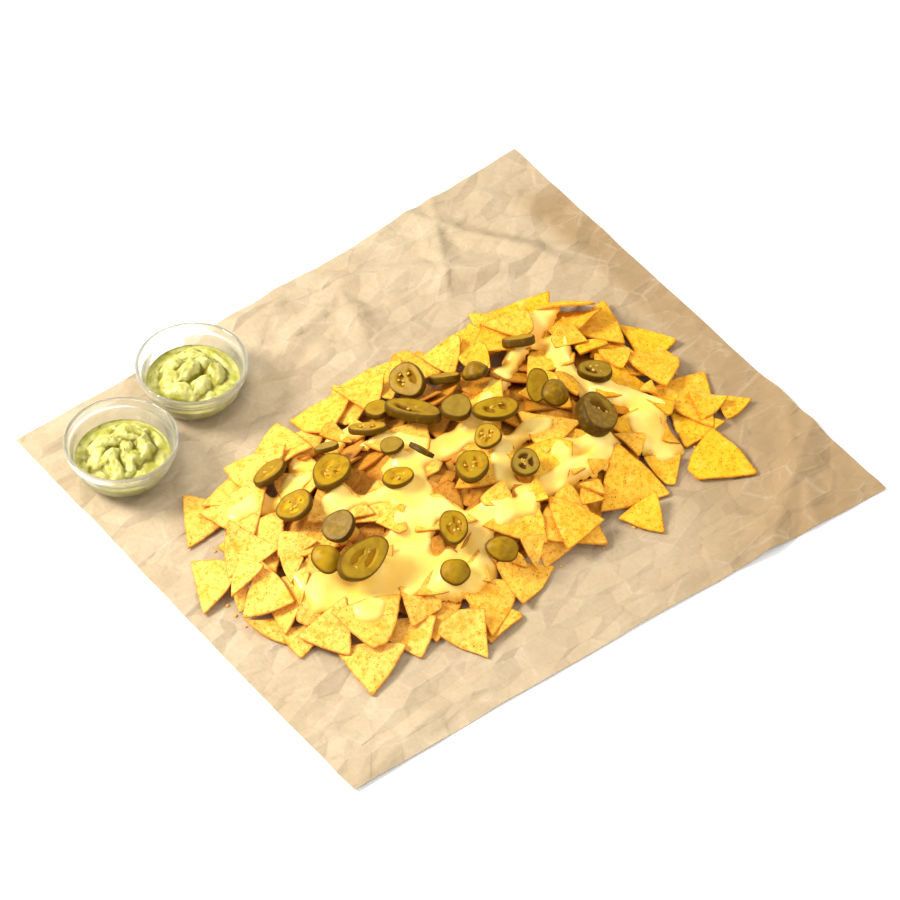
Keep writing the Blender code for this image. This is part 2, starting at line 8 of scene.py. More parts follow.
# %% Frame and libraries
import itertools
import json
import math
import random

import bmesh
import bpy
import numpy as np
from mathutils import Matrix, Vector, noise
from mathutils.bvhtree import BVHTree

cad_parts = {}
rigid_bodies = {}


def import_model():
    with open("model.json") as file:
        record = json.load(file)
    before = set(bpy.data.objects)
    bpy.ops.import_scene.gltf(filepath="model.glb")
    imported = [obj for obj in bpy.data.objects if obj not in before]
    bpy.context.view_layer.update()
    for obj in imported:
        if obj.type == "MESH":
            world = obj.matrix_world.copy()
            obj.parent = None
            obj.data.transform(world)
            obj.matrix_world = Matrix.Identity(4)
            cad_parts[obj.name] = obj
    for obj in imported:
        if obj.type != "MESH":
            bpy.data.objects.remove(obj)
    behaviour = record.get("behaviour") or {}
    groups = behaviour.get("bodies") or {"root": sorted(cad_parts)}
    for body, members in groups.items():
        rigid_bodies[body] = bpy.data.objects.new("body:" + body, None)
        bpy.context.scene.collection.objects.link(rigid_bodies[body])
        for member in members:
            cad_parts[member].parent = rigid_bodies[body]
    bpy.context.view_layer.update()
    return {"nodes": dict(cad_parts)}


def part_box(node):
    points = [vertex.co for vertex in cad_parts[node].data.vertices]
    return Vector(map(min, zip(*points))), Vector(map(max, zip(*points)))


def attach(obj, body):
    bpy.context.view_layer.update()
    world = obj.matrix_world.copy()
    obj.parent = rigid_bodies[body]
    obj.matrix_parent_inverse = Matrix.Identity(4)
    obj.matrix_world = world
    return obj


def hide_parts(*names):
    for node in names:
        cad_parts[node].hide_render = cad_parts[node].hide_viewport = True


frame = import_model()
MM = 0.001
BODY = "root"

# %% [markdown]
# ## Noise and smoothing on arrays
# Food has no straight line in it, so most pieces need smooth random numbers at many points.
# Blender's noise functions take one point at a time. A lattice of hashed numbers, blended between
# its corners, does the same for a whole array at once, and gives the same result each run.

# %% Noise and smoothing on arrays
def smooth(t):
    """Slow start and slow end between 0 and 1."""
    t = np.clip(t, 0, 1)
    return t * t * (3 - 2 * t)


def lattice_noise(points, size, seed):
    """Smooth random numbers from -1 to 1 at points (n, 3), with lumps about size across."""
    scaled = np.asarray(points, float) / size + 1000.0 + seed * 17.31
    cell = np.floor(scaled).astype(np.int64)
    part = scaled - cell
    part = part * part * (3 - 2 * part)
    total = np.zeros(len(scaled))
    for corner in itertools.product((0, 1), repeat=3):
        key = (cell[:, 0] + corner[0]) * 73856093
        key ^= (cell[:, 1] + corner[1]) * 19349663
        key ^= (cell[:, 2] + corner[2]) * 83492791
        key = (key ^ (key >> 13)) * 1274126177 & 0xFFFFFFFF
        key = (key ^ (key >> 16)) & 0xFFFF
        weight = np.ones(len(scaled))
        for axis in range(3):
            weight *= part[:, axis] if corner[axis] else 1 - part[:, axis]
        total += weight * (key / 32767.5 - 1)
    return total


def layered_noise(points, size, seed, layers=3):
    """Lumps of several sizes, each half as large and half as strong as the one before."""
    total = np.zeros(len(points))
    for layer in range(layers):
        total += lattice_noise(points, size / 2 ** layer, seed + layer * 7) / 2 ** layer
    return total


def flat_points(x, y, z=0.0):
    return np.column_stack([np.ravel(x), np.ravel(y), np.full(np.size(x), z)])


def blurred(grid, sigma):
    """A grid blurred by a bell of sigma cells, with its border values carried on outwards."""
    reach = max(1, math.ceil(sigma * 3))
    bell = np.exp(-0.5 * (np.arange(-reach, reach + 1) / sigma) ** 2)
    bell /= bell.sum()
    for axis in (0, 1):
        padded = np.pad(grid, [(reach, reach) if axis == k else (0, 0) for k in (0, 1)], mode="edge")
        length = grid.shape[axis]
        grid = sum(weight * np.take(padded, range(k, k + length), axis=axis) for k, weight in enumerate(bell))
    return grid


# %% [markdown]
# ## Making a piece
# Every piece is a mesh whose place is in its points, so its object stays at the origin. A round
# thing with a front and a back, such as a chip or a slice, can be wrapped in rings from one middle
# to the other, like a squashed globe. One helper lists the faces of such a globe, and another joins
# many globes in one piece.

# %% Making a piece
# A thin piece's rim stays sharp: faces that meet at more than this angle aren't smoothed together
SHARP_ANGLE = math.radians(50)


def in_scene(name, data, finish=None):
    """An object with this mesh, light or camera. A mesh with a finish is made smooth."""
    if finish:
        data.shade_smooth()
        data.materials.append(finish)
    made = bpy.data.objects.new(name, data)
    bpy.context.scene.collection.objects.link(made)
    return made


def make_piece(name, vertices, faces, finish, **attributes):
    """A mesh object from arrays, with one float attribute for each extra argument."""
    mesh = bpy.data.meshes.new(name)
    mesh.from_pydata(np.asarray(vertices, float).tolist(), [], faces)
    for label, values in attributes.items():
        layer = mesh.attributes.new(label, "FLOAT", "POINT")
        layer.data.foreach_set("value", np.asarray(values, np.float32))
    mesh.update()
    return in_scene(name, mesh, finish)


def piece_from(bm, name, finish=None):
    """A mesh object from a bmesh, which is freed."""
    mesh = bpy.data.meshes.new(name)
    bm.to_mesh(mesh)
    bm.free()
    return in_scene(name, mesh, finish)


def globe_faces(spokes, rings, start=0):
    """Faces of rings from an upper middle (the first point) to a lower middle (the last one)."""
    faces = []
    last = start + 1 + spokes * rings
    for k in range(spokes):
        after = (k + 1) % spokes
        faces.append((start, start + 1 + k, start + 1 + after))
        for ring in range(rings - 1):
            upper, lower = start + 1 + ring * spokes, start + 1 + (ring + 1) * spokes
            faces.append((upper + k, lower + k, lower + after, upper + after))
        base = start + 1 + (rings - 1) * spokes
        faces.append((base + k, last, base + after))
    return faces


def globes_piece(name, globes, spokes, rings, finish, labels=()):
    """One piece from many globes, each given as its points and its values for the labels."""
    faces = []
    for index in range(len(globes)):
        faces += globe_faces(spokes, rings, index * len(globes[0][0]))
    points, *values = [np.concatenate(parts) for parts in zip(*globes)]
    return make_piece(name, points, faces, finish, **dict(zip(labels, values)))


def triangles_of(piece):
    return sum(len(face.vertices) - 2 for face in piece.data.polygons)


def finish_piece(piece, slot, *nodes):
    """Tie a piece to the body and hide the solids that it stands for. Its slot, the finish's name, is not
    used.
    """
    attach(piece, BODY)
    if nodes:
        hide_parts(*nodes)
    print(f"{piece.name}: {triangles_of(piece)} triangles")


# %% [markdown]
# ## Shader maths as Python
# A finish lays coats of colour by masks: toast at a chip's rim, specks, a pepper slice's pale middle.
# Written as nodes by hand, such maths is long. Here a small class wraps a node's output, so that
# `1 - mask * 0.5` adds the Math nodes itself.

# %% Shader maths as Python
class Number:
    """One number that varies over a surface: an output of a node."""

    def __init__(self, finish, socket):
        self.finish = finish
        self.socket = socket

    def maths(self, operation, *values):
        return self.finish.node("ShaderNodeMath", {"operation": operation}, dict(enumerate(values)))

    def __add__(self, other):
        return self.maths("ADD", self, other)

    def __sub__(self, other):
        return self.maths("SUBTRACT", self, other)

    def __rsub__(self, other):
        return self.maths("SUBTRACT", other, self)

    def __mul__(self, other):
        return self.maths("MULTIPLY", self, other)

    def __pow__(self, other):
        return self.maths("POWER", self, other)

    __radd__ = __add__
    __rmul__ = __mul__

    def step(self, low, high):
        """0 below low, 1 above high, and a smooth rise between them."""
        inputs = {"Value": self, "From Min": low, "From Max": high}
        return self.finish.node("ShaderNodeMapRange", {"interpolation_type": "SMOOTHSTEP"}, inputs)


def srgb(red, green, blue):
    """A colour given as it looks on a screen, from 0 to 255, in the linear light that shaders use."""
    values = [channel / 255 for channel in (red, green, blue)]
    return tuple(v / 12.92 if v <= 0.04045 else ((v + 0.055) / 1.055) ** 2.4 for v in values) + (1.0,)


# How far apart the two sets of sites of a faceted relief are, and how wide its lines are
SITES_APART = 0.9
LINE_WIDTH = 0.05


class Finish:
    """A material under construction. Constants go straight onto the shader's own sockets."""

    def __init__(self, name, **constants):
        self.material = bpy.data.materials.new(name)
        self.material.use_nodes = True
        self.nodes = self.material.node_tree.nodes
        self.links = self.material.node_tree.links
        self.shader = self.nodes["Principled BSDF"]
        for label, value in constants.items():
            self.shader.inputs[label.replace("_", " ")].default_value = value

    def node(self, kind, settings=None, inputs=None, output=0):
        made = self.nodes.new(kind)
        for label, value in (settings or {}).items():
            setattr(made, label, value)
        for label, value in (inputs or {}).items():
            self.plug(made.inputs[label], value)
        return Number(self, made.outputs[output])

    def plug(self, socket, value):
        if isinstance(value, Number):
            self.links.new(value.socket, socket)
        else:
            socket.default_value = value

    def set(self, label, value):
        self.plug(self.shader.inputs[label], value)

    def place(self):
        return self.node("ShaderNodeTexCoord", output="Object")

    def noise(self, size, detail=3.0, roughness=0.5, stretch=None):
        """Noise from 0 to 1 with lumps about size across, in metres."""
        where = self.place()
        if stretch:
            where = self.node("ShaderNodeMapping", None, {"Vector": where, "Scale": stretch})
        inputs = {"Vector": where, "Scale": 1 / size, "Detail": detail, "Roughness": roughness}
        return self.node("ShaderNodeTexNoise", None, inputs)

    def cells(self, size, feature="F1", where=None):
        """Scattered points about size apart: the distance to the nearest, or to its cell's border."""
        inputs = {"Vector": where or self.place(), "Scale": 1 / size}
        return self.node("ShaderNodeTexVoronoi", {"feature": feature}, inputs, "Distance")

    def creases(self, size, stretch, turn, start):
        """Relief of flat facets, from below 0 to above it, with the lines of its ridges and valleys."""
        bowls, lines = [], []
        for shift in (start, start + SITES_APART):
            inputs = {"Vector": self.place(), "Location": (shift, 0.6 * shift, 0)}
            inputs.update({"Rotation": (0, 0, turn), "Scale": (1, stretch, 1)})
            where = self.node("ShaderNodeMapping", None, inputs)
            bowls.append(self.cells(size, where=where) ** 2)
            border = self.cells(size, "DISTANCE_TO_EDGE", where=where)
            lines.append(1 - border.step(0.0, LINE_WIDTH))
        return bowls[0] - bowls[1], lines[0], lines[1]

    def attribute(self, label):
        return self.node("ShaderNodeAttribute", {"attribute_name": label}, None, "Fac")

    def mix(self, factor, one, two):
        """Colour one where factor is 0 and colour two where it is 1."""
        made = self.node("ShaderNodeMix", {"data_type": "RGBA"}, {"Factor": factor}, "Result")
        node = made.socket.node
        colours = [socket for socket in node.inputs if socket.type == "RGBA"]
        self.plug(colours[0], one)
        self.plug(colours[1], two)
        return Number(self, [socket for socket in node.outputs if socket.type == "RGBA"][0])

    def coats(self, colour, *coats):
        """A colour under others, each given as its mask and its srgb values."""
        for mask, values in coats:
            colour = self.mix(mask, colour, srgb(*values))
        return colour

    def relief(self, height, depth, strength=1.0, normal=None):
        """The surface's direction with a relief that is depth metres deep where the height is 1."""
        inputs = {"Height": height, "Distance": depth, "Strength": strength}
        if normal:
            inputs["Normal"] = normal
        return self.node("ShaderNodeBump", None, inputs)

    def bump(self, height, depth, strength=1.0, normal=None):
        self.set("Normal", self.relief(height, depth, strength, normal))


# %% [markdown]
# ## Camera, light and floor
# The dish is seen from its front left, from a little above halfway up. A long lens from two metres
# away keeps the sheet's edges nearly parallel. The light is a soft window on the camera's left, with a
# pale room all round, so shadows are short, warm and fall to the right.

# %% Camera, light and floor
CAMERA_AZIMUTH = math.radians(-37.56)
CAMERA_ELEVATION = math.radians(47.5)
CAMERA_DISTANCE = 2.2
CAMERA_LENS = 136.0
CAMERA_TARGET = Vector((0.004, -0.001, 0.0))


def direction_from(azimuth, elevation):
    """Unit vector from the middle towards a place seen at this azimuth and elevation."""
    flat = math.cos(elevation)
    return Vector((math.sin(azimuth) * flat, -math.cos(azimuth) * flat, math.sin(elevation)))


def aim(thing, place, target):
    thing.location = place
    thing.rotation_euler = (target - place).to_track_quat("-Z", "Y").to_euler()


def add_camera():
    data = bpy.data.cameras.new("camera")
    data.lens = CAMERA_LENS
    camera = in_scene("camera", data)
    back = direction_from(CAMERA_AZIMUTH, CAMERA_ELEVATION)
    aim(camera, CAMERA_TARGET + back * CAMERA_DISTANCE, CAMERA_TARGET)
    bpy.context.scene.camera = camera


def add_area_light(name, place, size, power, colour):
    data = bpy.data.lights.new(name, "AREA")
    data.shape = "SQUARE"
    data.size = size
    data.energy = power
    data.color = colour
    aim(in_scene(name, data), Vector(place), Vector((0, 0, 0)))


def add_floor():
    finish = Finish("pale_floor", Roughness=0.9, Specular_IOR_Level=0.0)
    finish.set("Base Color", (0.93, 0.93, 0.93, 1))
    bpy.ops.mesh.primitive_plane_add(size=12)
    floor = bpy.context.object
    floor.name = "floor"
    floor.data.materials.append(finish.material)


def add_room():
    world = bpy.data.worlds.new("pale_room")
    world.use_nodes = True
    background = world.node_tree.nodes["Background"]
    background.inputs["Color"].default_value = (1.0, 0.99, 0.97, 1)
    background.inputs["Strength"].default_value = 0.9
    bpy.context.scene.world = world


add_camera()
add_room()
add_floor()
add_area_light("window", place=(-0.82, 0.66, 0.94), size=0.45, power=30, colour=(1.0, 0.99, 0.96))
add_area_light("reflector", place=(0.5, -1.1, 1.1), size=1.4, power=7, colour=(1.0, 0.98, 0.95))
bpy.context.scene.view_settings.view_transform = "Standard"

# %% [markdown]
# ## Sizes shared with the solids
# These values repeat those that the solids were made from, so that every chip lands where its solid
# is. Lengths in the tables are in millimetres and directions in degrees.

# %% Sizes shared with the solids
GAP = 0.3 * MM
SHEET_CORNERS = [(-209, -185), (205, -199), (215, 199), (-215, 177)]
SHEET_THICKNESS = 0.5 * MM
SHEET_CELLS = (17, 15)
SHEET_CALM_MARGIN = 26 * MM
# How far the middle of each long side is drawn in, in mm
SHEET_WAIST = 2.5
# The rounded ground round the heap on which the sheet is flat, and its radius round a pot
CALM_CENTRE = (-12, -32)
CALM_HALF = (205, 132)
CALM_POWER = 2.6
CALM_SCALE = 130
CALM_POT = 24
FOLD_REACH = 110
# Folds: middle, direction, height, half width
FOLDS = [
    (176, 0, 90, 5.0, 15), (0, 178, 2, 3.0, 14), (150, 120, 118, 6.0, 13), (60, 150, 152, 5.0, 16),
    (-40, 130, 20, 4.0, 14), (20, 110, 75, 4.0, 13), (-190, -60, 88, 3.5, 10), (-120, -165, 12, 4.0, 12),
    (30, -170, 172, 4.5, 12), (150, -165, 35, 5.0, 14), (190, -120, 60, 4.0, 12), (100, 130, 60, 5.0, 14),
]
HEAP_CENTRE = (-8, -26)
HEAP_HALF = (158, 90)
HEAP_HEIGHT = 20 * MM
HEAP_FULLNESS = 4
HEAP_CELLS = (14, 9)
HEAP_LUMPS = 2.5 * MM
HEAP_FOOT = 2.5 * MM
CHIP_THICKNESS = 2.2 * MM
CORE_SHARE = 0.86
CHIP_BEND = 4 * MM
CHIP_SINK = 0.9 * MM
STEEPEST_CHIP = 42
TILT_ROUNDS = 4
# Chips: middle, side, direction, slimness
HEAP_CHIPS = [
    (-174, -55, 36, 135, 0.7), (-162, -72, 44, -4, 0.6), (-157, 46, 52, -146, 0.8), (-91, -110, 40, 1, 0.8),
    (-62, -132, 42, 99, 0.8), (0, -112, 34, -16, 0.7), (102, -101, 34, -115, 0.8), (142, -81, 46, 91, 0.8),
    (164, -6, 50, 97, 0.7), (145, -23, 36, -31, 0.9), (-92, 55, 34, -62, 0.8), (-23, 70, 46, -33, 0.8),
    (37, 68, 30, 97, 0.9), (95, 64, 34, 69, 0.8), (-158, -45, 50, -127, 0.8), (-112, -110, 48, 126, 0.7),
    (-140, -61, 56, 72, 0.9), (-58, -121, 50, -123, 0.9), (-28, -119, 46, -6, 0.8), (-94, -100, 40, -19, 0.8),
    (-146, 2, 54, -105, 0.95), (-130, 47, 50, 45, 0.9), (-75, 54, 50, 18, 0.9), (-36, 60, 40, 132, 0.9),
    (-2, 70, 50, 148, 0.8), (62, 56, 36, -2, 0.9), (103, 52, 42, 98, 0.9), (140, 4, 44, 67, 0.8),
    (133, 25, 48, -107, 0.9), (72, -100, 55, -167, 0.95), (19, -104, 56, 176, 0.95), (153, -62, 56, -97, 0.9),
    (108, -70, 52, 30, 0.9), (118, -30, 50, 80, 0.95), (-9, -90, 46, 160, 0.9), (-112, -66, 52, 15, 0.9),
    (-112, -22, 52, 70, 0.9), (-100, 20, 50, -20, 0.95), (96, 12, 52, 200, 0.9), (60, -64, 50, 100, 0.9),
]
MIDDLE_CHIPS = 11
MIDDLE_HALF = (100, 42)
MIDDLE_TURN = 2.4
MIDDLE_SIDE = (44, 54)
LOOSE_CHIPS = [
    (-183, -2, 50, -138, 0.75), (-176, -26, 24, 94, 0.8), (-143, -113, 48, 114, 0.95),
    (-83, -132, 42, -94, 0.95), (66, -124, 34, 150, 0.95), (133, -116, 54, 179, 0.95),
    (172, -84, 28, -142, 0.9),
]
# Slices: kind, middle, length, width, thickness, direction, tip
SLICES = [
    ("ring", 4, 45, 27, 24, 8, -80, 35), ("slice", -23, 41, 19, 17, 5, 70, 0),
    ("slice", -10, 19, 40, 22, 8, 118, 0), ("slice", 9, -2, 22, 22, 6, 142, 0),
    ("slice", 27, 34, 22, 15, 6, 153, 35), ("cap", 41, 21, 19, 18, 11, 136, 0),
    ("slice", 86, 31, 24, 17, 7, 155, 35), ("slice", 26, -21, 32, 17, 6, 154, 0),
    ("slice", 65, -14, 15, 24, 6, -38, 40), ("cap", 68, -29, 20, 19, 10, 0, 0),
    ("slice", 105, -25, 24, 17, 7, 137, 0), ("slice", 79, -58, 33, 30, 12, 52, 32),
    ("slice", 10, -32, 19, 18, 5, 0, 0), ("ring", -13, -46, 27, 23, 6, 39, 0),
    ("slice", 17, -62, 21, 19, 5, 20, 0), ("ring", -50, -75, 25, 19, 5, 67, 0),
    ("cap", -34, -105, 23, 18, 8, 132, 0), ("cap", -68, -100, 20, 19, 9, 0, 0),
    ("ring", -110, 39, 29, 20, 5, 33, 0), ("ring", -119, -2, 28, 24, 5, 129, 0),
    ("ring", -86, 5, 33, 26, 6, 33, 0), ("slice", -72, 29, 18, 12, 4, 168, 0),
    ("slice", -109, -34, 23, 22, 6, 0, 0), ("cap", -130, -51, 21, 20, 9, 90, 0),
    ("slice", -112, -65, 42, 24, 7, -168, 0), ("ring", -42, 25, 27, 14, 5, 130, 0),
    ("slice", -41, 1, 17, 14, 4, 142, 0), ("slice", -33, -20, 20, 13, 4, 104, 48),
    ("ring", -54, -23, 22, 15, 5, 161, 0),
]
SLICE_NODES = [f"jalapeno_{index:02d}" for index in range(1, len(SLICES) + 1)]
POT_PLACES = {"back": (-100, 139), "left": (-174, 111)}
# Half outlines of a pot: radius and height
POT_INSIDE = [(0, 3.2), (14, 3.4), (22, 5.6), (28.5, 12), (31.6, 21), (33.6, 25.5), (35.0, 31.2)]
POT_OUTSIDE = [
    (36.4, 31.8), (37, 30.6), (36.2, 25.2), (34.2, 23.2), (32.4, 14.5), (27.5, 6), (21, 1.4), (19, 0), (0, 0),
]
GRID_HALF = 232 * MM
GRID_STEP = 2 * MM

# %% [markdown]
# ## Laying things down
# A chip that is dropped on a heap comes to rest on three points. To find them, the heights of what
# lies there already are kept on a grid, every three points under the chip are tried as its supports,
# and the lowest plane that no other point pokes through wins. It is quicker than a physics run. Warps
# and blisters come later, so chips that lie close may touch.

# %% Laying things down
class Heights:
    """The upper side of what lies on the table, as heights on a square grid."""

    def __init__(self, start=0.0):
        self.count = round(2 * GRID_HALF / GRID_STEP) + 1
        self.z = np.full((self.count, self.count), start)

    def place(self, index):
        return index * GRID_STEP - GRID_HALF

    def span(self, values):
        """Grid lines between the least and the greatest of some coordinates."""
        first = math.ceil((min(values) + GRID_HALF) / GRID_STEP)
        last = math.floor((max(values) + GRID_HALF) / GRID_STEP)
        return range(first, last + 1)

    def hits(self, vertices, faces, way=-1):
        """Where vertical rays meet a piece first, seen from above (way -1) or from below (way 1)."""
        tree = BVHTree.FromPolygons(vertices, faces)
        spans = [self.span([vertex[axis] for vertex in vertices]) for axis in (0, 1)]
        for i, j in itertools.product(*spans):
            hit = tree.ray_cast(Vector((self.place(i), self.place(j), -way)), Vector((0, 0, way)))[0]
            if hit is not None:
                yield i, j, hit.z

    def cover(self, vertices, faces):
        """Raise the grid to the upper side of a piece."""
        for i, j, z in self.hits(vertices, faces):
            self.z[i, j] = max(self.z[i, j], z)

    def floor(self, x, y, gap):
        """Heights that many points keep: gap above the highest of four grid points around each.

        With a negative gap the points sink in, so the mean of the four is enough.
        """
        i = np.clip(((x + GRID_HALF) / GRID_STEP).astype(int), 0, self.count - 2)
        j = np.clip(((y + GRID_HALF) / GRID_STEP).astype(int), 0, self.count - 2)
        near = [self.z[i, j], self.z[i + 1, j], self.z[i, j + 1], self.z[i + 1, j + 1]]
        return (np.max if gap > 0 else np.mean)(near, axis=0) + gap


def resting_plane(x, y, need):
    """Slopes of the lowest plane, above its middle, that no point of need stands above."""
    one, two, three = np.array(list(itertools.combinations(range(len(x)), 3))).T
    ax, ay, az = x[two] - x[one], y[two] - y[one], need[two] - need[one]
    bx, by, bz = x[three] - x[one], y[three] - y[one], need[three] - need[one]
    turn = ax * by - bx * ay
    wide = abs(turn) > (4 * MM) ** 2
    one, turn = one[wide], turn[wide]
    slope_x = (az * by - bz * ay)[wide] / turn
    slope_y = (ax * bz - bx * az)[wide] / turn
    middle = need[one] - slope_x * x[one] - slope_y * y[one]
    planes = middle[:, None] + slope_x[:, None] * x + slope_y[:, None] * y
    holds = (planes - need).min(axis=1) > -1e-7
    best = np.flatnonzero(holds)[np.argmin(middle[holds])]
    return slope_x[best], slope_y[best]


def tilt_to(slope_x, slope_y):
    """Rotation that lays a level piece on a plane of these slopes."""
    normal = Vector((-slope_x, -slope_y, 1))
    return Vector((0, 0, 1)).rotation_difference(normal).to_matrix()


def rest(points, place, turn, grounds, steepest):
    """Matrix that lays a piece, given by points of its underside, on the grounds below it."""
    x0, y0 = place[0] * MM, place[1] * MM
    spin = Matrix.Rotation(math.radians(turn), 3, "Z")
    tilt = Matrix.Identity(3)

    def need():
        turned = points @ np.array(tilt @ spin).T
        x, y = turned[:, 0], turned[:, 1]
        floor = np.max([heights.floor(x0 + x, y0 + y, gap) for heights, gap in grounds], axis=0)
        return x, y, floor - turned[:, 2]

    for _ in range(TILT_ROUNDS):
        tilt = tilt_to(*resting_plane(*need())) @ tilt
        lean = tilt.to_quaternion()
        if lean.angle > math.radians(steepest):
            tilt = Matrix.Rotation(math.radians(steepest), 3, lean.axis)
    lift = need()[2].max()
    return Matrix.Translation((x0, y0, lift)) @ (tilt @ spin).to_4x4()


def bmesh_arrays(bm, matrix=None):
    """Points and faces of a bmesh, moved by a matrix."""
    bm.verts.index_update()
    points = [matrix @ vertex.co if matrix else vertex.co.copy() for vertex in bm.verts]
    return points, [[vertex.index for vertex in face.verts] for face in bm.faces]


def grid_sheet(cells, shape):
    """A sheet of cells[0] by cells[1] faces, each of its points put where shape(s, t) says."""
    bm = bmesh.new()
    bmesh.ops.create_grid(bm, x_segments=cells[0], y_segments=cells[1], size=1)
    for vertex in bm.verts:
        vertex.co = shape(vertex.co.x, vertex.co.y)
    return bm


def along_and_across(x, y, direction):
    """Coordinates along a direction, given in degrees, and square to it."""
    angle = math.radians(direction)
    return x * math.cos(angle) + y * math.sin(angle), y * math.cos(angle) - x * math.sin(angle)


def on_disc(s, t):
    """Move a point of the square from -1 to 1 into the circle of radius 1."""
    return s * math.sqrt(1 - t * t / 2), t * math.sqrt(1 - s * s / 2)


def close_sheet(bm, upper):
    """Close an open sheet with a copy of it whose heights upper(vertex) gives."""
    made = bmesh.ops.extrude_face_region(bm, geom=bm.faces[:], use_keep_orig=True)
    for vertex in [part for part in made["geom"] if isinstance(part, bmesh.types.BMVert)]:
        vertex.co.z = upper(vertex)
    bmesh.ops.recalc_face_normals(bm, faces=bm.faces[:])


# %% [markdown]
# ## Baking paper
# Paper can't stretch, so a crumpled sheet is made of flat facets that meet in straight ridges and
# valleys. The squared distance to the nearest of some scattered sites is a set of bowls that all have
# the same curve. Taking one such set from another cancels the curve and leaves only flat facets.
# Two sizes of facets are added up here, and two more in the finish. Broad folds come from the same
# list as the solid, and under the food the sheet is pressed flat.

# %% Places on the sheet
# For each size: seed, spacing and height of the facets, how much longer they are than wide, direction
CRUMPLES = [(41, 40 * MM, 4.6 * MM, 1.7, 125), (42, 21 * MM, 1.7 * MM, 1.5, 20)]
CRUMPLE_LIFT = 2.2 * MM
SITE_COUNT = 64
PAPER_CELLS = (200, 186)
# How far the crumple draws the rim in, in mm
RIM_WANDER = 0.6
# The crumple starts inside the calm ground and reaches its full height over a width
LOOSE_START = 4 * MM
LOOSE_WIDTH = 30 * MM
# How much lower the crumple is at the rim, and where that starts, on a scale of 1 at the rim
RIM_LOWERED = 0.6
RIM_START = 0.86
# Painted shade on the right end, where the sheet slopes away from the light: how strong, where it starts and
# how wide, and a corner of its last fold
FAR_SHADE = 0.75
FAR_START = 75 * MM
FAR_WIDTH = 140 * MM
LAST_FOLD = (172 * MM, 175 * MM)


def outside_food(x, y):
    """Distance from the heap's foot or the nearer pot's foot, negative inside."""
    hx = np.abs((x / MM - CALM_CENTRE[0]) / CALM_HALF[0])
    hy = np.abs((y / MM - CALM_CENTRE[1]) / CALM_HALF[1])
    away = ((hx ** CALM_POWER + hy ** CALM_POWER) ** (1 / CALM_POWER) - 1) * CALM_SCALE * MM
    for px, py in POT_PLACES.values():
        away = np.minimum(away, np.hypot(x - px * MM, y - py * MM) - CALM_POT * MM)
    return away


def sheet_height(x, y):
    """Height of the sheet's underside: flat under the food, folded in the margins."""
    calm = smooth(outside_food(x, y) / SHEET_CALM_MARGIN)
    rise = 0
    for fx, fy, direction, height, width in FOLDS:
        along, across = along_and_across(x - fx * MM, y - fy * MM, direction)
        ridge = np.maximum(0, 1 - np.abs(across) / (width * MM))
        ends = np.maximum(0, 1 - (along / (FOLD_REACH * MM)) ** 2)
        rise = np.maximum(rise, height * MM * ridge * ends)
    return calm * rise


def sheet_place(s, t):
    """A point of the sheet, from -1 to 1 along its long and its short side."""
    low_left, low_right, high_right, high_left = [np.array(corner) * MM for corner in SHEET_CORNERS]
    u, v = (s + 1) / 2, (t + 1) / 2
    x, y = [(low_left[k] * (1 - u) + low_right[k] * u) * (1 - v)
            + (high_left[k] * (1 - u) + high_right[k] * u) * v for k in (0, 1)]
    return x, y - np.sign(t) * np.abs(t) ** 4 * SHEET_WAIST * MM * (1 - s * s)


def nearest_site(u, v, rng):
    """Squared distance to the nearest site, with one site in each unit square."""
    sites = rng.random((SITE_COUNT, SITE_COUNT, 2))
    iu, iv = np.floor(u).astype(int), np.floor(v).astype(int)
    nearest = np.full(u.shape, np.inf)
    for i, j in itertools.product(range(-2, 3), repeat=2):
        site = sites[(iu + i) % SITE_COUNT, (iv + j) % SITE_COUNT]
        nearest = np.minimum(nearest, (u - iu - i - site[..., 0]) ** 2 + (v - iv - j - site[..., 1]) ** 2)
    return nearest


def crumple(x, y):
    """Height of the crumple at many places, about as often below 0 as above."""
    total = np.zeros_like(x)
    for seed, spacing, height, stretch, direction in CRUMPLES:
        along, across = along_and_across(x, y, direction)
        u, v = along / (spacing * stretch), across / spacing
        rng = np.random.default_rng(seed)
        total += height * (nearest_site(u, v, rng) - nearest_site(u, v, rng))
    return total


# %% Finish of the baking paper
# How strongly the crease lines are painted: pale on the ridges, a painted highlight with some wear, and dark
# in the valleys, painted shade
CREASE_TINT = 0.16


def paper_finish():
    finish = Finish("kraft_paper", Specular_IOR_Level=0.3)
    cloud = finish.noise(60 * MM, 2.0)
    fibre = finish.noise(1.6 * MM, 4.0, 0.7, stretch=(1.0, 0.35, 1.0))
    worn = finish.noise(22 * MM, 3.0)
    broad, broad_ridge, broad_valley = finish.creases(34 * MM, 1.9, 0.5, 0.2)
    small, small_ridge, small_valley = finish.creases(15 * MM, 1.7, 2.0, 0.5)
    ridge = (broad_ridge + small_ridge * 0.6) * worn.step(0.4, 0.62)
    valley = (broad_valley + small_valley * 0.5) * worn.step(0.62, 0.4)
    paper = finish.mix(cloud.step(0.35, 0.7), srgb(176, 156, 124), srgb(184, 165, 134))
    finish.set("Base Color", finish.coats(
        paper,
        (fibre.step(0.4, 0.75) * 0.3, (156, 127, 92)),
        # painted shade on the sheet's right end
        (finish.attribute("far_side"), (150, 119, 78)),
        # painted highlight with some wear on the ridges, painted shade in the valleys
        (ridge * CREASE_TINT, (212, 196, 172)),
        (valley * CREASE_TINT, (146, 118, 80))))
    finish.set("Roughness", 0.55 + fibre * 0.12)
    restless = finish.noise(90 * MM, 1.0).step(0.35, 0.6) * 0.6 + 0.4
    folded = finish.relief(small * restless, 0.85 * MM, 1.0, finish.relief(broad, 3.3 * MM))
    finish.bump(fibre, 0.18 * MM, 0.5, folded)
    return finish.material


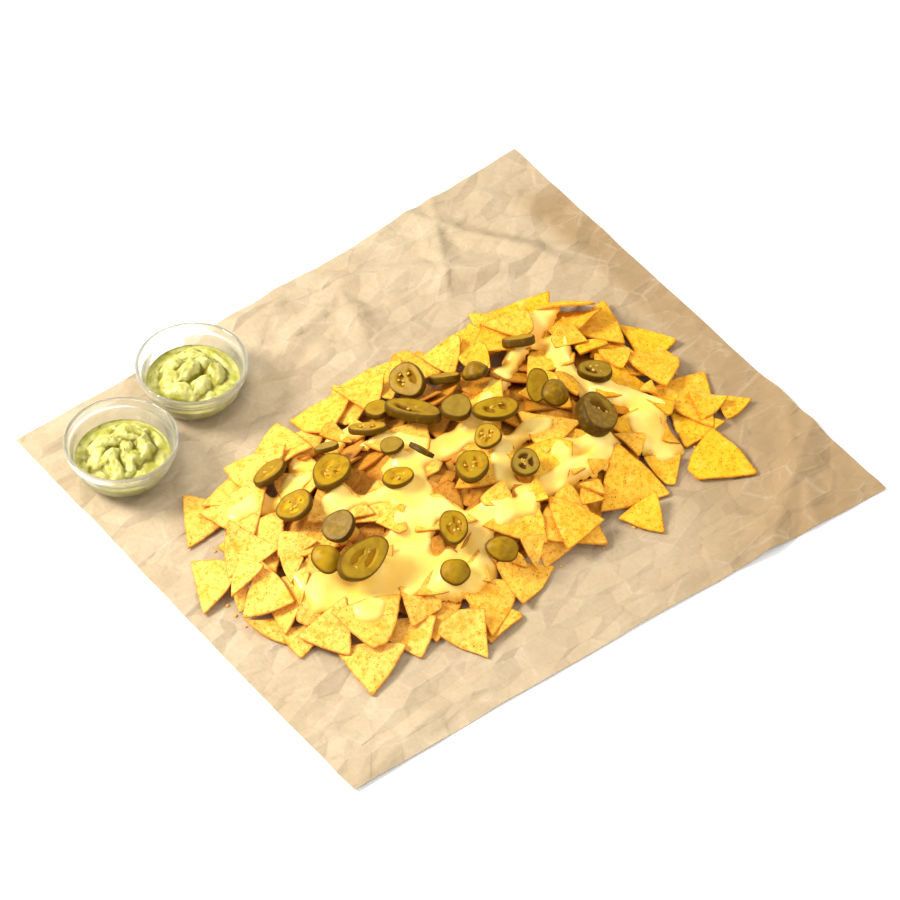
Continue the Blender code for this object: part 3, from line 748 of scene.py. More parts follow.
# %% Baking paper as a piece
def sheet_faces(rows, columns):
    """Quads over a grid of corners and over a second one below it, and a rim between the two."""
    index = np.arange(rows * columns).reshape(rows, columns)
    top = np.stack([index[:-1, :-1], index[1:, :-1], index[1:, 1:], index[:-1, 1:]], axis=-1).reshape(-1, 4)
    under = top[:, ::-1] + rows * columns
    loop = np.concatenate([index[:-1, 0], index[-1, :-1], index[:0:-1, -1], index[0, :0:-1]])
    after = np.roll(loop, -1)
    rim = np.stack([loop, loop + rows * columns, after + rows * columns, after], axis=-1)
    return np.concatenate([top, under, rim]).tolist()


def build_paper():
    rows, columns = [cells + 1 for cells in PAPER_CELLS]
    s, t = np.meshgrid(np.linspace(-1, 1, rows), np.linspace(-1, 1, columns), indexing="ij")
    x, y = sheet_place(s, t)
    drawn = (layered_noise(flat_points(x, y), 26 * MM, 5, 2).reshape(x.shape) + 1) * RIM_WANDER * MM
    x = x - s * np.abs(s) ** 12 * drawn
    y = y - t * np.abs(t) ** 12 * drawn
    loose = smooth((outside_food(x, y) + LOOSE_START) / LOOSE_WIDTH)
    loose *= 1 - RIM_LOWERED * smooth((np.maximum(np.abs(s), np.abs(t)) - RIM_START) / 0.12)
    low = np.maximum(sheet_height(x, y) + loose * (crumple(x, y) + CRUMPLE_LIFT), 0)
    low = blurred(low, 0.35)
    under = np.column_stack([x.ravel(), y.ravel(), low.ravel()])
    points = np.concatenate([under + (0, 0, SHEET_THICKNESS), under])
    x, y = points[:, 0], points[:, 1]
    # Painted shade: darker towards the sheet's right end and behind its last fold
    right_end = smooth((x * 0.9 - y * 0.45 - FAR_START) / FAR_WIDTH)
    last_fold = smooth((x - LAST_FOLD[0]) / (20 * MM)) * smooth((LAST_FOLD[1] - y) / (40 * MM))
    shade = FAR_SHADE * np.maximum(right_end, last_fold)
    piece = make_piece("baking_paper", points, sheet_faces(rows, columns), paper_finish(), far_side=shade)
    piece.data.set_sharp_from_angle(angle=SHARP_ANGLE)
    finish_piece(piece, "baking_paper", "paper_sheet")


build_paper()

# %% [markdown]
# ## Corn chips
# A corn chip is cut as a triangle from thin dough, and it warps and blisters when it is fried. Its
# rim toasts darker than its faces. Each chip here is a squashed globe: its outline is a triangle with
# softened corners, some with a bite broken off, bent along one direction and roughened by noise.

# %% Poses of the chips
def coarse_sheet_height(s, t):
    x, y = sheet_place(np.array(s), np.array(t))
    return Vector((float(x), float(y), float(sheet_height(x, y))))


def chip_bend(u, v, side, direction, depth):
    """Height of a bent chip at u, v: a shallow trough or arch across one direction."""
    across = (u * math.cos(direction) + v * math.sin(direction)) / side
    return depth * (0.16 - 4 * across * across)


def plain_chip(side, slim, direction, depth, rng):
    """The solid's chip: three corners, slightly bowed sides. Returns its mesh and its outline."""
    bm = bmesh.new()
    bmesh.ops.create_circle(bm, cap_ends=True, segments=6, radius=1)
    outline = []
    for index, vertex in enumerate(bm.verts):
        angle = math.tau * index / 6
        corner = side / math.sqrt(3)
        reach = corner * rng.uniform(0.92, 1.0) if index % 2 == 0 else corner / 2 * rng.uniform(1.0, 1.2)
        vertex.co = Vector((reach * math.cos(angle), reach * math.sin(angle) * slim, 0))
        outline.append((vertex.co.x, vertex.co.y))
    bmesh.ops.poke(bm, faces=bm.faces[:])
    for vertex in bm.verts:
        vertex.co.z = chip_bend(vertex.co.x, vertex.co.y, side, direction, depth) - CHIP_THICKNESS / 2
    close_sheet(bm, lambda vertex: vertex.co.z + CHIP_THICKNESS)
    return bm, outline


def underside(bm):
    """Points spread over the lower faces of a mesh."""
    bm.normal_update()
    points = []
    for face in bm.faces:
        if face.normal.z < -0.3:
            points.append(face.calc_center_median())
            points += [vertex.co for vertex in face.verts]
            points += [edge.verts[0].co.lerp(edge.verts[1].co, 0.5) for edge in face.edges]
    unique = {tuple(round(value, 6) for value in point) for point in points}
    return np.array(sorted(unique))


class Chip:
    """A chip that has been laid down: its shape's values and its matrix."""

    def __init__(self, row, rng, grounds):
        x, y, side, turn, slim = row
        self.side = side * MM
        self.direction = rng.uniform(0, math.pi)
        self.depth = rng.uniform(-1, 1) * CHIP_BEND
        bm, self.outline = plain_chip(self.side, slim, self.direction, self.depth, rng)
        self.matrix = rest(underside(bm), (x, y), turn, grounds, STEEPEST_CHIP)
        self.points, self.faces = bmesh_arrays(bm, self.matrix)
        self.cuts = []
        bm.free()


def mound_shape(s, t):
    """A point of the mound inside the solid heap."""
    x, y = on_disc(s, t)
    out = min(1, math.hypot(x, y))
    px = (HEAP_CENTRE[0] + HEAP_HALF[0] * x) * MM
    py = (HEAP_CENTRE[1] + HEAP_HALF[1] * y) * MM
    lump = noise.noise(Vector((px, py, 0)) / (38 * MM)) * HEAP_LUMPS
    return px, py, (1 - out ** HEAP_FULLNESS) * (HEAP_HEIGHT + lump) + HEAP_FOOT


def mound_mesh(lowered):
    """The mound, with its upper side lowered, down to the paper."""
    base = SHEET_THICKNESS + GAP
    bm = grid_sheet(HEAP_CELLS, lambda s, t: Vector(mound_shape(s, t)))
    if lowered:
        bmesh.ops.scale(bm, verts=bm.verts[:], vec=(CORE_SHARE, CORE_SHARE, 1),
                        space=Matrix.Translation((-HEAP_CENTRE[0] * MM, -HEAP_CENTRE[1] * MM, 0)))
    tops = {}
    for vertex in bm.verts:
        tops[(round(vertex.co.x, 6), round(vertex.co.y, 6))] = vertex.co.z
        vertex.co.z = base
    close_sheet(bm, lambda vertex: base + max(
        0.3 * MM, tops[(round(vertex.co.x, 6), round(vertex.co.y, 6))] - lowered))
    return bm


def spread_place(index, count, turn, half, reach=1):
    """One of count places that fill an ellipse evenly, as the seeds of a sunflower do."""
    angle = index * turn
    out = math.sqrt((index + 0.5) / count) * reach
    return [HEAP_CENTRE[k] + half[k] * out * (math.cos, math.sin)[k](angle) for k in (0, 1)]


def laid_chips(rows, rng, grounds, heap):
    """Chips that are laid down one by one, each on the ones before it."""
    chips = []
    for row in rows:
        chips.append(Chip(row, rng, grounds))
        heap.cover(chips[-1].points, chips[-1].faces)
    return chips


def lay_chips():
    rng = random.Random(7)
    ground = Heights()
    sheet = grid_sheet(SHEET_CELLS, coarse_sheet_height)
    close_sheet(sheet, lambda vertex: vertex.co.z + SHEET_THICKNESS)
    ground.cover(*bmesh_arrays(sheet))
    heap = Heights()
    heap.cover(*bmesh_arrays(mound_mesh(0)))
    grounds = [(ground, GAP), (heap, -CHIP_SINK)]
    rows = list(HEAP_CHIPS)
    for index in range(MIDDLE_CHIPS):
        place = spread_place(index, MIDDLE_CHIPS, MIDDLE_TURN, MIDDLE_HALF)
        rows.append((*place, rng.uniform(*MIDDLE_SIDE), rng.uniform(0, 360), rng.uniform(0.8, 1)))
    heap_chips = laid_chips(rows, rng, grounds, heap)
    loose_chips = laid_chips(LOOSE_CHIPS, rng, [(ground, GAP), (heap, GAP)], heap)
    return ground, heap_chips, loose_chips


ground, heap_chips, loose_chips = lay_chips()
print("chips laid:", len(heap_chips), "in the heap,", len(loose_chips), "loose")

# %% Fine mesh of a chip
CHIP_SPOKES = 76
# How far out each ring lies, and how much of the full thickness it has
CHIP_RINGS = [
    (0.14, 1), (0.32, 1), (0.5, 1), (0.66, 1), (0.8, 1), (0.91, 1), (0.965, 0.92), (0.99, 0.6), (1, 0),
]
UNDER_SPOKES = 30
UNDER_RINGS = [(0.3, 1), (0.6, 1), (0.86, 1), (0.975, 0.85), (1, 0)]
CHIP_FULL = 0.8 * MM
CORNER_SOFTNESS = 32
CHIP_BLISTER = 0.5 * MM
# How far a chip warps and how far its corners twist, in mm
CHIP_WARP = 0.9
CHIP_TWIST = 2.4
# How deep the waves and the teeth of a rim are, as shares of its radius
RIM_WAVES = 0.012
RIM_TEETH = 0.014
BROKEN_SHARE = 0.5
# A loose chip without one of its corners: its index, with the cut's direction and reach
BROKEN_LOOSE = {3: (150, 0.30)}
# Paleness in the middle, how much more by chance, and the length over which it fades to the right: the paler
# left is painted light
TONE_MIDDLE = 0.3
TONE_CHANCE = 0.4
TONE_LENGTH = 0.3


def soft_outline(outline, angles, cuts=()):
    """Radius at each angle of a polygon around the origin, with its corners rounded off."""
    total = np.zeros_like(angles)
    planes = []
    for (ax, ay), (bx, by) in zip(outline, outline[1:] + outline[:1]):
        normal = np.array([by - ay, ax - bx])
        normal /= np.hypot(*normal)
        planes.append((normal, normal @ (ax, ay)))
    planes += [(np.array([math.cos(angle), math.sin(angle)]), reach) for angle, reach in cuts]
    for normal, reach in planes:
        away = (normal[0] * np.cos(angles) + normal[1] * np.sin(angles)) / reach
        total += np.maximum(0, away) ** CORNER_SOFTNESS
    return total ** (-1 / CORNER_SOFTNESS)


def chip_arrays(chip, index, spokes, rings, seed):
    """Points of one fine chip and its attributes, in the order of globe_faces."""
    rng = random.Random(seed * 1000 + index)
    angles = np.arange(spokes) * math.tau / spokes
    cuts = []
    if rng.random() < BROKEN_SHARE:
        corner = chip.outline[rng.choice((0, 2, 4))]
        reach = chip.side * rng.uniform(0.3, 0.48)
        cuts.append((math.atan2(corner[1], corner[0]) + rng.uniform(-0.4, 0.4), reach))
    cuts += [(math.radians(angle), chip.side * reach) for angle, reach in chip.cuts]
    radius = soft_outline(chip.outline, angles, cuts)
    rim = np.column_stack([radius * np.cos(angles), radius * np.sin(angles), np.full(spokes, index * 0.11)])
    waves, teeth = layered_noise(rim, 9 * MM, 3, 2), layered_noise(rim, 2.6 * MM, 8, 2)
    radius = radius * (1 + RIM_WAVES * waves + RIM_TEETH * teeth)
    rows, edge = [], []
    last = len(rings) - 1
    for face, order in ((1, range(last + 1)), (-1, range(last - 1, -1, -1))):
        for out, full in [rings[k] for k in order]:
            u, v = radius * out * np.cos(angles), radius * out * np.sin(angles)
            rows.append(np.column_stack([u, v, np.full(spokes, face * full)]))
            edge.append(np.full(spokes, out))
    body = np.concatenate([[[0, 0, 1]], *rows, [[0, 0, -1]]])
    edge = np.concatenate([[0], *edge, [0]])
    u, v, side = body[:, 0], body[:, 1], body[:, 2]
    spot = np.column_stack([u, v, np.full(len(u), index * 0.37 + seed)])
    warp = layered_noise(spot, 19 * MM, 3, 2) * CHIP_WARP * MM * (0.3 + edge)
    blister = np.clip(layered_noise(spot + side[:, None] * 0.013, 5 * MM, 9, 2), -0.3, 1)
    twist = rng.uniform(-1, 1) * CHIP_TWIST * MM * u * v / (chip.side * 0.3) ** 2
    middle = chip_bend(u, v, chip.side, chip.direction, chip.depth) + twist + warp
    z = middle + side * (CHIP_FULL + blister * CHIP_BLISTER * np.clip(1.6 - 1.6 * edge ** 4, 0, 1))
    matrix = np.array(chip.matrix)
    turn, place = matrix[:3, :3].T, matrix[:3, 3]
    world = np.column_stack([u, v, z]) @ turn + place
    # A tip that would bend down through the paper is held up by it
    beneath = np.column_stack([u, v, middle - CHIP_FULL - CHIP_BLISTER]) @ turn + place
    world[:, 2] += np.maximum(0, SHEET_THICKNESS + GAP - beneath[:, 2])
    # Tone is partly chance and partly painted light: paler towards the lit left, deeper towards the right
    tone = np.clip(TONE_MIDDLE + TONE_CHANCE * rng.random() - place[0] / TONE_LENGTH, 0, 1)
    return world, edge, np.full(len(u), tone), np.clip(blister, 0, 1)


def chips_piece(name, chips, spokes, rings, seed, finish):
    made = [chip_arrays(chip, index, spokes, rings, seed) for index, chip in enumerate(chips)]
    piece = globes_piece(name, made, spokes, 2 * len(rings) - 1, finish, ("edge", "tone", "blister"))
    piece.data.set_sharp_from_angle(angle=SHARP_ANGLE)
    return piece


# %% Finish of the chips
def chip_finish(name, shade):
    """Toasted corn: painted shade 0 for chips on top, more for the darker ones inside the heap."""
    finish = Finish(name, Specular_IOR_Level=0.12)
    tone, edge, blister = [finish.attribute(label) for label in ("tone", "edge", "blister")]
    patch = finish.noise(11 * MM, 4.0, 0.6)
    mottle = finish.noise(3.2 * MM, 3.0, 0.6)
    grain = finish.noise(1.0 * MM, 3.0, 0.6)
    speck = finish.cells(2.1 * MM)
    coats = [
        (patch.step(0.48, 0.68) * 0.6, (228, 148, 14)),
        (mottle.step(0.46, 0.66) * 0.62, (218, 134, 4)),
        (blister.step(0.2, 0.9) * 0.55, (248, 200, 92)),
        (grain.step(0.5, 0.68) * 0.5, (210, 126, 10)),
        ((1 - speck.step(0.1, 0.26)) * mottle.step(0.4, 0.55), (116, 52, 6)),
        (edge.step(0.9, 1.0) * (patch * 0.7 + 0.25), (172, 84, 8)),
    ]
    # Painted shade for the chips inside the heap
    if shade:
        coats.append((shade, (140, 62, 2)))
    # From deep to pale corn by tone, which holds painted light that is paler on the left
    corn = finish.mix(tone, srgb(238, 179, 34), srgb(246, 190, 88))
    finish.set("Base Color", finish.coats(corn, *coats))
    finish.set("Roughness", 0.55 + grain * 0.25)
    finish.bump(grain * 0.35 + mottle * 0.65, 0.8 * MM, 1.0)
    return finish.material


corn_finish = chip_finish("toasted_corn", 0)
# A darker copy of the corn, painted shade, for the chips inside the heap
shaded_corn = chip_finish("toasted_corn_inside", 0.55)
for index, broken in BROKEN_LOOSE.items():
    loose_chips[index].cuts.append(broken)
top_chips = chips_piece("heap_chips", heap_chips, CHIP_SPOKES, CHIP_RINGS, 1, corn_finish)
finish_piece(top_chips, "corn_chip", "chip_heap")
apart = chips_piece("loose_chips", loose_chips, CHIP_SPOKES, CHIP_RINGS, 2, corn_finish)
finish_piece(apart, "corn_chip", *[f"loose_chip_{index}" for index in range(1, len(LOOSE_CHIPS) + 1)])

# %% [markdown]
# ## Inside the heap
# Between the chips that show, one sees more chips. A lower mound fills the middle, and plainer chips
# are laid on it. Each is then pushed down until it clears the chips above it, so that only real gaps
# show it, and is left out if that takes it through the table. That leaves about ninety. Some whole
# chips lean on the heap's foot, and broken bits lie in the low places.

# %% Chips below and the core
UNDER_TRIES = 190
UNDER_REACH = 1.1
UNDER_TURN = 2.39996
UNDER_SIDE = (40, 54)
CORE_LOWERED = 9 * MM
BIT_TRIES = 900
BIT_REACH = 1.08
BIT_LEVEL = 0.8
BIT_SIDE = (16, 32)
BIT_SPOKES = 44
BIT_GAP = 4 * MM
# Chips that lean on the heap's foot, most of them on its far side: middle, side, direction, slimness
FRINGE_CHIPS = [
    (144, 22, 54, 40, 0.9), (152, -30, 50, 10, 0.9), (128, 34, 52, 100, 0.9), (112, 56, 54, 20, 0.9),
    (140, 44, 46, 160, 0.85), (86, 58, 42, 100, 0.9), (60, 58, 42, 20, 0.9), (22, 68, 48, 70, 0.85),
    (-4, 66, 50, 20, 0.9), (-48, 66, 54, 10, 0.85), (-88, 60, 56, 60, 0.9), (-112, 52, 50, 0, 0.9),
    (-140, 30, 54, 15, 0.9), (-156, 0, 46, 80, 0.9), (-150, -82, 44, 30, 0.85), (20, -108, 44, 100, 0.9),
    (158, -74, 32, 100, 0.9), (-166, -36, 44, 60, 0.85), (-128, -94, 50, 10, 0.9), (66, 50, 38, 70, 0.9),
    (44, 56, 36, 10, 0.9), (-20, 60, 40, 130, 0.9), (80, 44, 46, 60, 0.9), (94, 46, 40, 150, 0.9),
]


def ceiling_of(chips):
    """Heights of the lower sides of chips on the grid, infinite where there is none."""
    grid = Heights(np.inf)
    for chip in chips:
        for i, j, z in grid.hits(chip.points, chip.faces, way=1):
            grid.z[i, j] = min(grid.z[i, j], z)
    return grid


def push_under(chip, ceiling):
    """Lower a chip until its upper side clears the ceiling."""
    too_high = 0.0
    for i, j, z in ceiling.hits(chip.points, chip.faces):
        too_high = max(too_high, z + GAP - ceiling.z[i, j])
    chip.matrix = Matrix.Translation((0, 0, -too_high)) @ chip.matrix
    chip.points = [point - Vector((0, 0, too_high)) for point in chip.points]


def under_chips():
    rng = random.Random(23)
    heap = Heights()
    heap.cover(*bmesh_arrays(mound_mesh(CORE_LOWERED)))
    ceiling = ceiling_of(heap_chips + loose_chips)
    chips = []
    for index in range(UNDER_TRIES):
        place = spread_place(index, UNDER_TRIES, UNDER_TURN, HEAP_HALF, UNDER_REACH)
        row = (*place, rng.uniform(*UNDER_SIDE), rng.uniform(0, 360), rng.uniform(0.75, 1))
        chip = Chip(row, rng, [(ground, GAP), (heap, GAP)])
        push_under(chip, ceiling)
        if min(point.z for point in chip.points) > -0.5 * MM:
            chips.append(chip)
            heap.cover(chip.points, chip.faces)
    return chips


lower_chips = under_chips()
below = chips_piece("lower_chips", lower_chips, UNDER_SPOKES, UNDER_RINGS, 3, shaded_corn)
finish_piece(below, "corn_chip", "chip_heap")


def heights_over(chips):
    """Heights of the upper sides of chips on the grid."""
    grid = Heights()
    for chip in chips:
        grid.cover(chip.points, chip.faces)
    return grid


heap = heights_over(heap_chips + loose_chips + lower_chips)
leaning_chips = laid_chips(FRINGE_CHIPS, random.Random(31), [(ground, GAP), (heap, GAP)], heap)
fringe = chips_piece("fringe_chips", leaning_chips, CHIP_SPOKES, CHIP_RINGS, 4, corn_finish)
finish_piece(fringe, "corn_chip", "chip_heap")


def broken_bits():
    """Broken pieces that fill the low places between the chips, clear of the slices."""
    boxes = [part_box(name) for name in SLICE_NODES]

    def clear(chip):
        for low, high in boxes:
            inside = [point.z for point in chip.points if low.x - BIT_GAP < point.x < high.x + BIT_GAP
                      and low.y - BIT_GAP < point.y < high.y + BIT_GAP]
            if inside and max(inside) > low.z - GAP:
                return False
        return True

    rng = random.Random(47)
    bits = []
    for _ in range(BIT_TRIES):
        angle, out = rng.uniform(0, math.tau), math.sqrt(rng.uniform(0.1, BIT_REACH))
        x = HEAP_CENTRE[0] + HEAP_HALF[0] * out * math.cos(angle)
        y = HEAP_CENTRE[1] + HEAP_HALF[1] * out * math.sin(angle)
        low = HEAP_HEIGHT * (1 - out ** HEAP_FULLNESS) * BIT_LEVEL + 3 * MM
        if heap.floor(np.array([x * MM]), np.array([y * MM]), GAP)[0] > low:
            continue
        row = (x, y, rng.uniform(*BIT_SIDE), rng.uniform(0, 360), rng.uniform(0.6, 0.9))
        bit = Chip(row, rng, [(ground, GAP), (heap, GAP)])
        if clear(bit):
            bits.append(bit)
            heap.cover(bit.points, bit.faces)
    return bits


bits = chips_piece("broken_bits", broken_bits(), BIT_SPOKES, UNDER_RINGS, 5, corn_finish)
finish_piece(bits, "corn_chip", "chip_heap")


def core_piece():
    bm = mound_mesh(CORE_LOWERED)
    points, faces = bmesh_arrays(bm)
    bm.free()
    finish = Finish("heap_shade", Roughness=0.8, Specular_IOR_Level=0.2)
    grain = finish.noise(4 * MM, 3.0)
    finish.set("Base Color", finish.mix(grain.step(0.35, 0.65), srgb(146, 74, 4), srgb(196, 132, 26)))
    finish.bump(grain, 2.5 * MM, 1.0)
    return make_piece("heap_core", [tuple(point) for point in points], faces, finish.material)


core = core_piece()
finish_piece(core, "corn_chip", "chip_heap")

# %% [markdown]
# ## Cheese sauce
# The sauce was poured in bands while it was warm. It bridges small gaps, sags over edges, and ends
# in thick round lips. It is made as a sheet of heights: the chips' upper side is blurred, the bands
# add thickness, and where a chip still stands higher it pokes through.

# %% Heights under the sauce
SAUCE_STEP = 1.25 * MM
SAUCE_LOW = (-170 * MM, -132 * MM)
SAUCE_HIGH = (150 * MM, 78 * MM)
SAUCE_DEPTH = 2.4 * MM
SAUCE_LIP = 3.8 * MM
SAUCE_BODY = 2.2 * MM
# How far the bands wander, in mm
SAUCE_WANDER = 2.6
# Bands that meet run together with a round inner corner
SAUCE_CORNER = 4 * MM
# How far a chip's tip may stand out, how far the sauce may sag, and how far up it reaches for a slice
TIP_COVER = 1.6 * MM
SAUCE_SAG = 2.2 * MM
SLICE_REACH = 7 * MM
# Each band: its half width, and the points that it runs through
SAUCE_BANDS = [
    (7, [(123, 48), (110, 39), (86, 29), (61, 17)]), (6, [(118, 50), (106, 44)]),
    (8, [(108, 22), (94, -12), (101, -34), (118, -46), (128, -62)]),
    (14, [(114, -66), (110, -78), (111, -84)]),
    (7, [(79, -72), (65, -78), (49, -77), (30, -76), (11, -74), (3, -60), (13, -41), (33, -31), (53, -37)]),
    (6, [(80, -66), (58, -61), (44, -63)]), (10, [(15, -16), (1, -13), (-13, -12), (-19, -12)]),
    (6, [(-17, -7), (-29, 9), (-43, 21)]), (7, [(-42, 38), (-54, 42), (-61, 36)]),
    (10, [(-86, 36), (-100, 25)]), (7, [(-117, 26), (-131, 27), (-143, 30)]), (9, [(-86, -12), (-99, -14)]),
    (13, [(-43, -12), (-53, -36), (-64, -52), (-79, -67)]), (17, [(-133, -46), (-124, -60), (-112, -75)]),
    (12, [(-121, -74), (-125, -84)]), (9, [(-135, -54), (-143, -60)]),
    (14, [(-91, -78), (-79, -86), (-66, -98), (-52, -98)]),
    (8, [(-43, -84), (-29, -79), (-14, -80), (3, -82)]), (8, [(-45, -54), (-34, -70), (-21, -73)]),
    (10, [(-61, -89), (-46, -84)]), (9, [(-90, -58), (-103, -50)]), (6, [(20, -12), (38, 2), (56, 14)]),
    (6, [(-20, -14), (-40, -16)]), (6, [(-56, -30), (-76, -20), (-90, -14)]),
]


def distance_to_line(x, y, points):
    """Distance of many places to a line through points, all in metres."""
    nearest = np.full(x.shape, np.inf)
    for (ax, ay), (bx, by) in zip(points, points[1:]):
        ax, ay, bx, by = ax * MM, ay * MM, bx * MM, by * MM
        dx, dy = bx - ax, by - ay
        t = np.clip(((x - ax) * dx + (y - ay) * dy) / (dx * dx + dy * dy), 0, 1)
        nearest = np.minimum(nearest, np.hypot(x - ax - t * dx, y - ay - t * dy))
    return nearest


def sauce_inside(x, y):
    """How far inside the sauce's edge each place is, negative outside."""
    spots = flat_points(x, y)
    wx = x + layered_noise(spots, 13 * MM, 31, 3).reshape(x.shape) * SAUCE_WANDER * MM
    wy = y + layered_noise(spots, 13 * MM, 57, 3).reshape(x.shape) * SAUCE_WANDER * MM
    inside = np.full(x.shape, -1.0)
    for half, points in SAUCE_BANDS:
        near = half * MM - distance_to_line(wx, wy, points)
        blend = np.clip(0.5 + 0.5 * (near - inside) / SAUCE_CORNER, 0, 1)
        inside = inside * (1 - blend) + near * blend + SAUCE_CORNER * blend * (1 - blend)
    return inside


def ray_target(piece):
    """A piece's faces, made ready for rays."""
    mesh = piece.data
    return BVHTree.FromPolygons([v.co for v in mesh.vertices], [f.vertices[:] for f in mesh.polygons])


def upper_heights(x, y, pieces, missing):
    """Upper side of some pieces at many places, by rays from above."""
    trees = [ray_target(piece) for piece in pieces]
    result = np.full(x.shape, missing)
    down = Vector((0, 0, -1))
    for place in np.ndindex(x.shape):
        start = Vector((x[place], y[place], 0.2))
        for tree in trees:
            hit = tree.ray_cast(start, down)[0]
            if hit is not None and hit.z > result[place]:
                result[place] = hit.z
    return result


sauce_lines = [np.arange(low, high, SAUCE_STEP) for low, high in zip(SAUCE_LOW, SAUCE_HIGH)]
sauce_x, sauce_y = np.meshgrid(*sauce_lines, indexing="ij")
chip_tops = upper_heights(sauce_x, sauce_y, [top_chips, below, fringe, bits, core], SHEET_THICKNESS)
print("sauce grid:", sauce_x.shape, "tallest chip in mm:", round(chip_tops.max() / MM, 1))

# %% Undersides of the slices
def slice_lift(x, y):
    """How high the sauce has to reach to touch the slices that lie on it."""
    lift = np.full(x.shape, -1.0)
    for name in SLICE_NODES:
        tree = ray_target(frame["nodes"][name])
        low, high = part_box(name)
        near = (x > low.x) & (x < high.x) & (y > low.y) & (y < high.y)
        for place in np.argwhere(near):
            place = tuple(place)
            hit = tree.ray_cast(Vector((x[place], y[place], -1)), Vector((0, 0, 1)))[0]
            if hit is not None:
                lift[place] = max(lift[place], hit.z)
    return lift


# %% Shape of the sauce
def sauce_surface():
    inside = sauce_inside(sauce_x, sauce_y)
    # The tips of the steepest chips stay bare
    follow = np.minimum(blurred(chip_tops, 1.1), blurred(chip_tops, 6) + TIP_COVER)
    bridge = np.maximum(blurred(chip_tops, 4.5), follow - SAUCE_SAG)
    deep = smooth(inside / (7 * MM))
    base = follow * (1 - deep) + bridge * deep
    lip = np.clip(inside / SAUCE_LIP, 0, 1)
    depth = SAUCE_DEPTH * np.sqrt(1 - (1 - lip) ** 2)
    spots = flat_points(sauce_x, sauce_y)
    swell = layered_noise(spots, 16 * MM, 71, 3).reshape(inside.shape) * 1.3 * MM
    top = base + depth + swell * deep
    lift = slice_lift(sauce_x, sauce_y)
    touching = (lift > 0) & (lift < top + SLICE_REACH)
    wanted = np.where(touching & (inside > -2 * MM), lift - 0.2 * MM, -1.0)
    for _ in range(6):
        spread = blurred(np.maximum(wanted, top), 1.6)
        top = np.where(inside > 0, np.maximum(top, spread), top)
    return inside, blurred(top, 0.7)


def build_sauce():
    inside, top = sauce_surface()
    keep = inside > -1.2 * MM
    cells = keep[:-1, :-1] & keep[1:, :-1] & keep[1:, 1:] & keep[:-1, 1:]
    index = np.arange(inside.size).reshape(inside.shape)
    quads = np.stack([index[:-1, :-1], index[1:, :-1], index[1:, 1:], index[:-1, 1:]], axis=-1)[cells]
    edges = np.clip(inside / (2 * MM), -1, 0) * 1.2 * MM
    points = np.column_stack([sauce_x.ravel(), sauce_y.ravel(), (top + edges).ravel()])
    # Painted shade: hollows and thin edges are painted a deeper yellow
    hollow = np.clip(0.35 + (blurred(top, 4) - top) / (2.4 * MM), 0, 1)
    hollow = np.maximum(hollow, 0.8 * (1 - smooth(inside / (2.5 * MM)))).ravel()
    bm = bmesh.new()
    deep = bm.verts.layers.float.new("hollow")
    used = np.unique(quads)
    where = {old: bm.verts.new(points[old]) for old in used}
    for old, vertex in where.items():
        vertex[deep] = hollow[old]
    for quad in quads:
        bm.faces.new([where[k] for k in quad])
    close_sheet(bm, lambda vertex: vertex.co.z - SAUCE_BODY)
    axes = dict.fromkeys(("use_axis_x", "use_axis_y", "use_axis_z"), True)
    for _ in range(3):
        bmesh.ops.smooth_vert(bm, verts=bm.verts[:], factor=0.5, **axes)
    for vertex in bm.verts:
        vertex.co.z = max(vertex.co.z, SHEET_THICKNESS + GAP)
    finish = Finish("warm_cheese", Roughness=0.26, Specular_IOR_Level=0.3)
    cloud = finish.noise(16 * MM, 2.0)
    cheese = finish.mix(cloud.step(0.3, 0.75), srgb(246, 204, 92), srgb(250, 218, 124))
    # Painted shade in the hollows and at the thin edges
    cheese = finish.mix(finish.attribute("hollow") * 0.8, cheese, srgb(240, 176, 48))
    finish.set("Base Color", cheese)
    finish.bump(finish.noise(5 * MM, 2.0), 0.3 * MM, 0.4)
    piece = piece_from(bm, "cheese_sauce_poured", finish.material)
    finish_piece(piece, "cheese_sauce", "cheese_sauce")


build_sauce()

# %% [markdown]
# ## Jalapeno slices
# Pickled jalapenos are sliced across. The dark skin makes a rim, the wall inside it is paler, and the
# middle has up to three hollow chambers with seeds, parted by thin walls. Each slice is a squashed
# globe in the place of its solid, with chambers sunk into both faces. End pieces are closed domes.

# %% Looks of each slice
SLICE_SPOKES = 56
# How far out each ring lies, how high it is as a share of half the thickness, and how much skin it has
SLICE_RINGS = [
    (0.09, 0.8, 0), (0.16, 0.8, 0), (0.22, 0.82, 0), (0.29, 0.84, 0), (0.37, 0.87, 0), (0.45, 0.9, 0),
    (0.52, 0.93, 0), (0.58, 0.95, 0), (0.65, 0.97, 0), (0.74, 0.98, 0), (0.83, 0.98, 0), (0.885, 0.98, 0.15),
    (0.925, 1, 0.75), (0.97, 0.94, 1), (1, 0.5, 1),
]
# Waves of the outline: how many in a turn, and how deep as a share of the radius
OUTLINE_WAVES = [(2, 0.03), (3, 0.05), (5, 0.02)]
CHAMBER_IN, CHAMBER_OUT = 0.17, 0.62
CHAMBER_DEPTH = 0.85
SLICE_THINNED = 0.8
# Seeds: half sizes in mm, and how far out and how high each ring lies
SEED_SPOKES = 10
SEED_HALF = np.array([1.2, 0.9, 0.4])
SEED_RINGS = [(0.55, 0.8), (0.9, 0.45), (1, 0), (0.9, -0.45), (0.55, -0.8)]
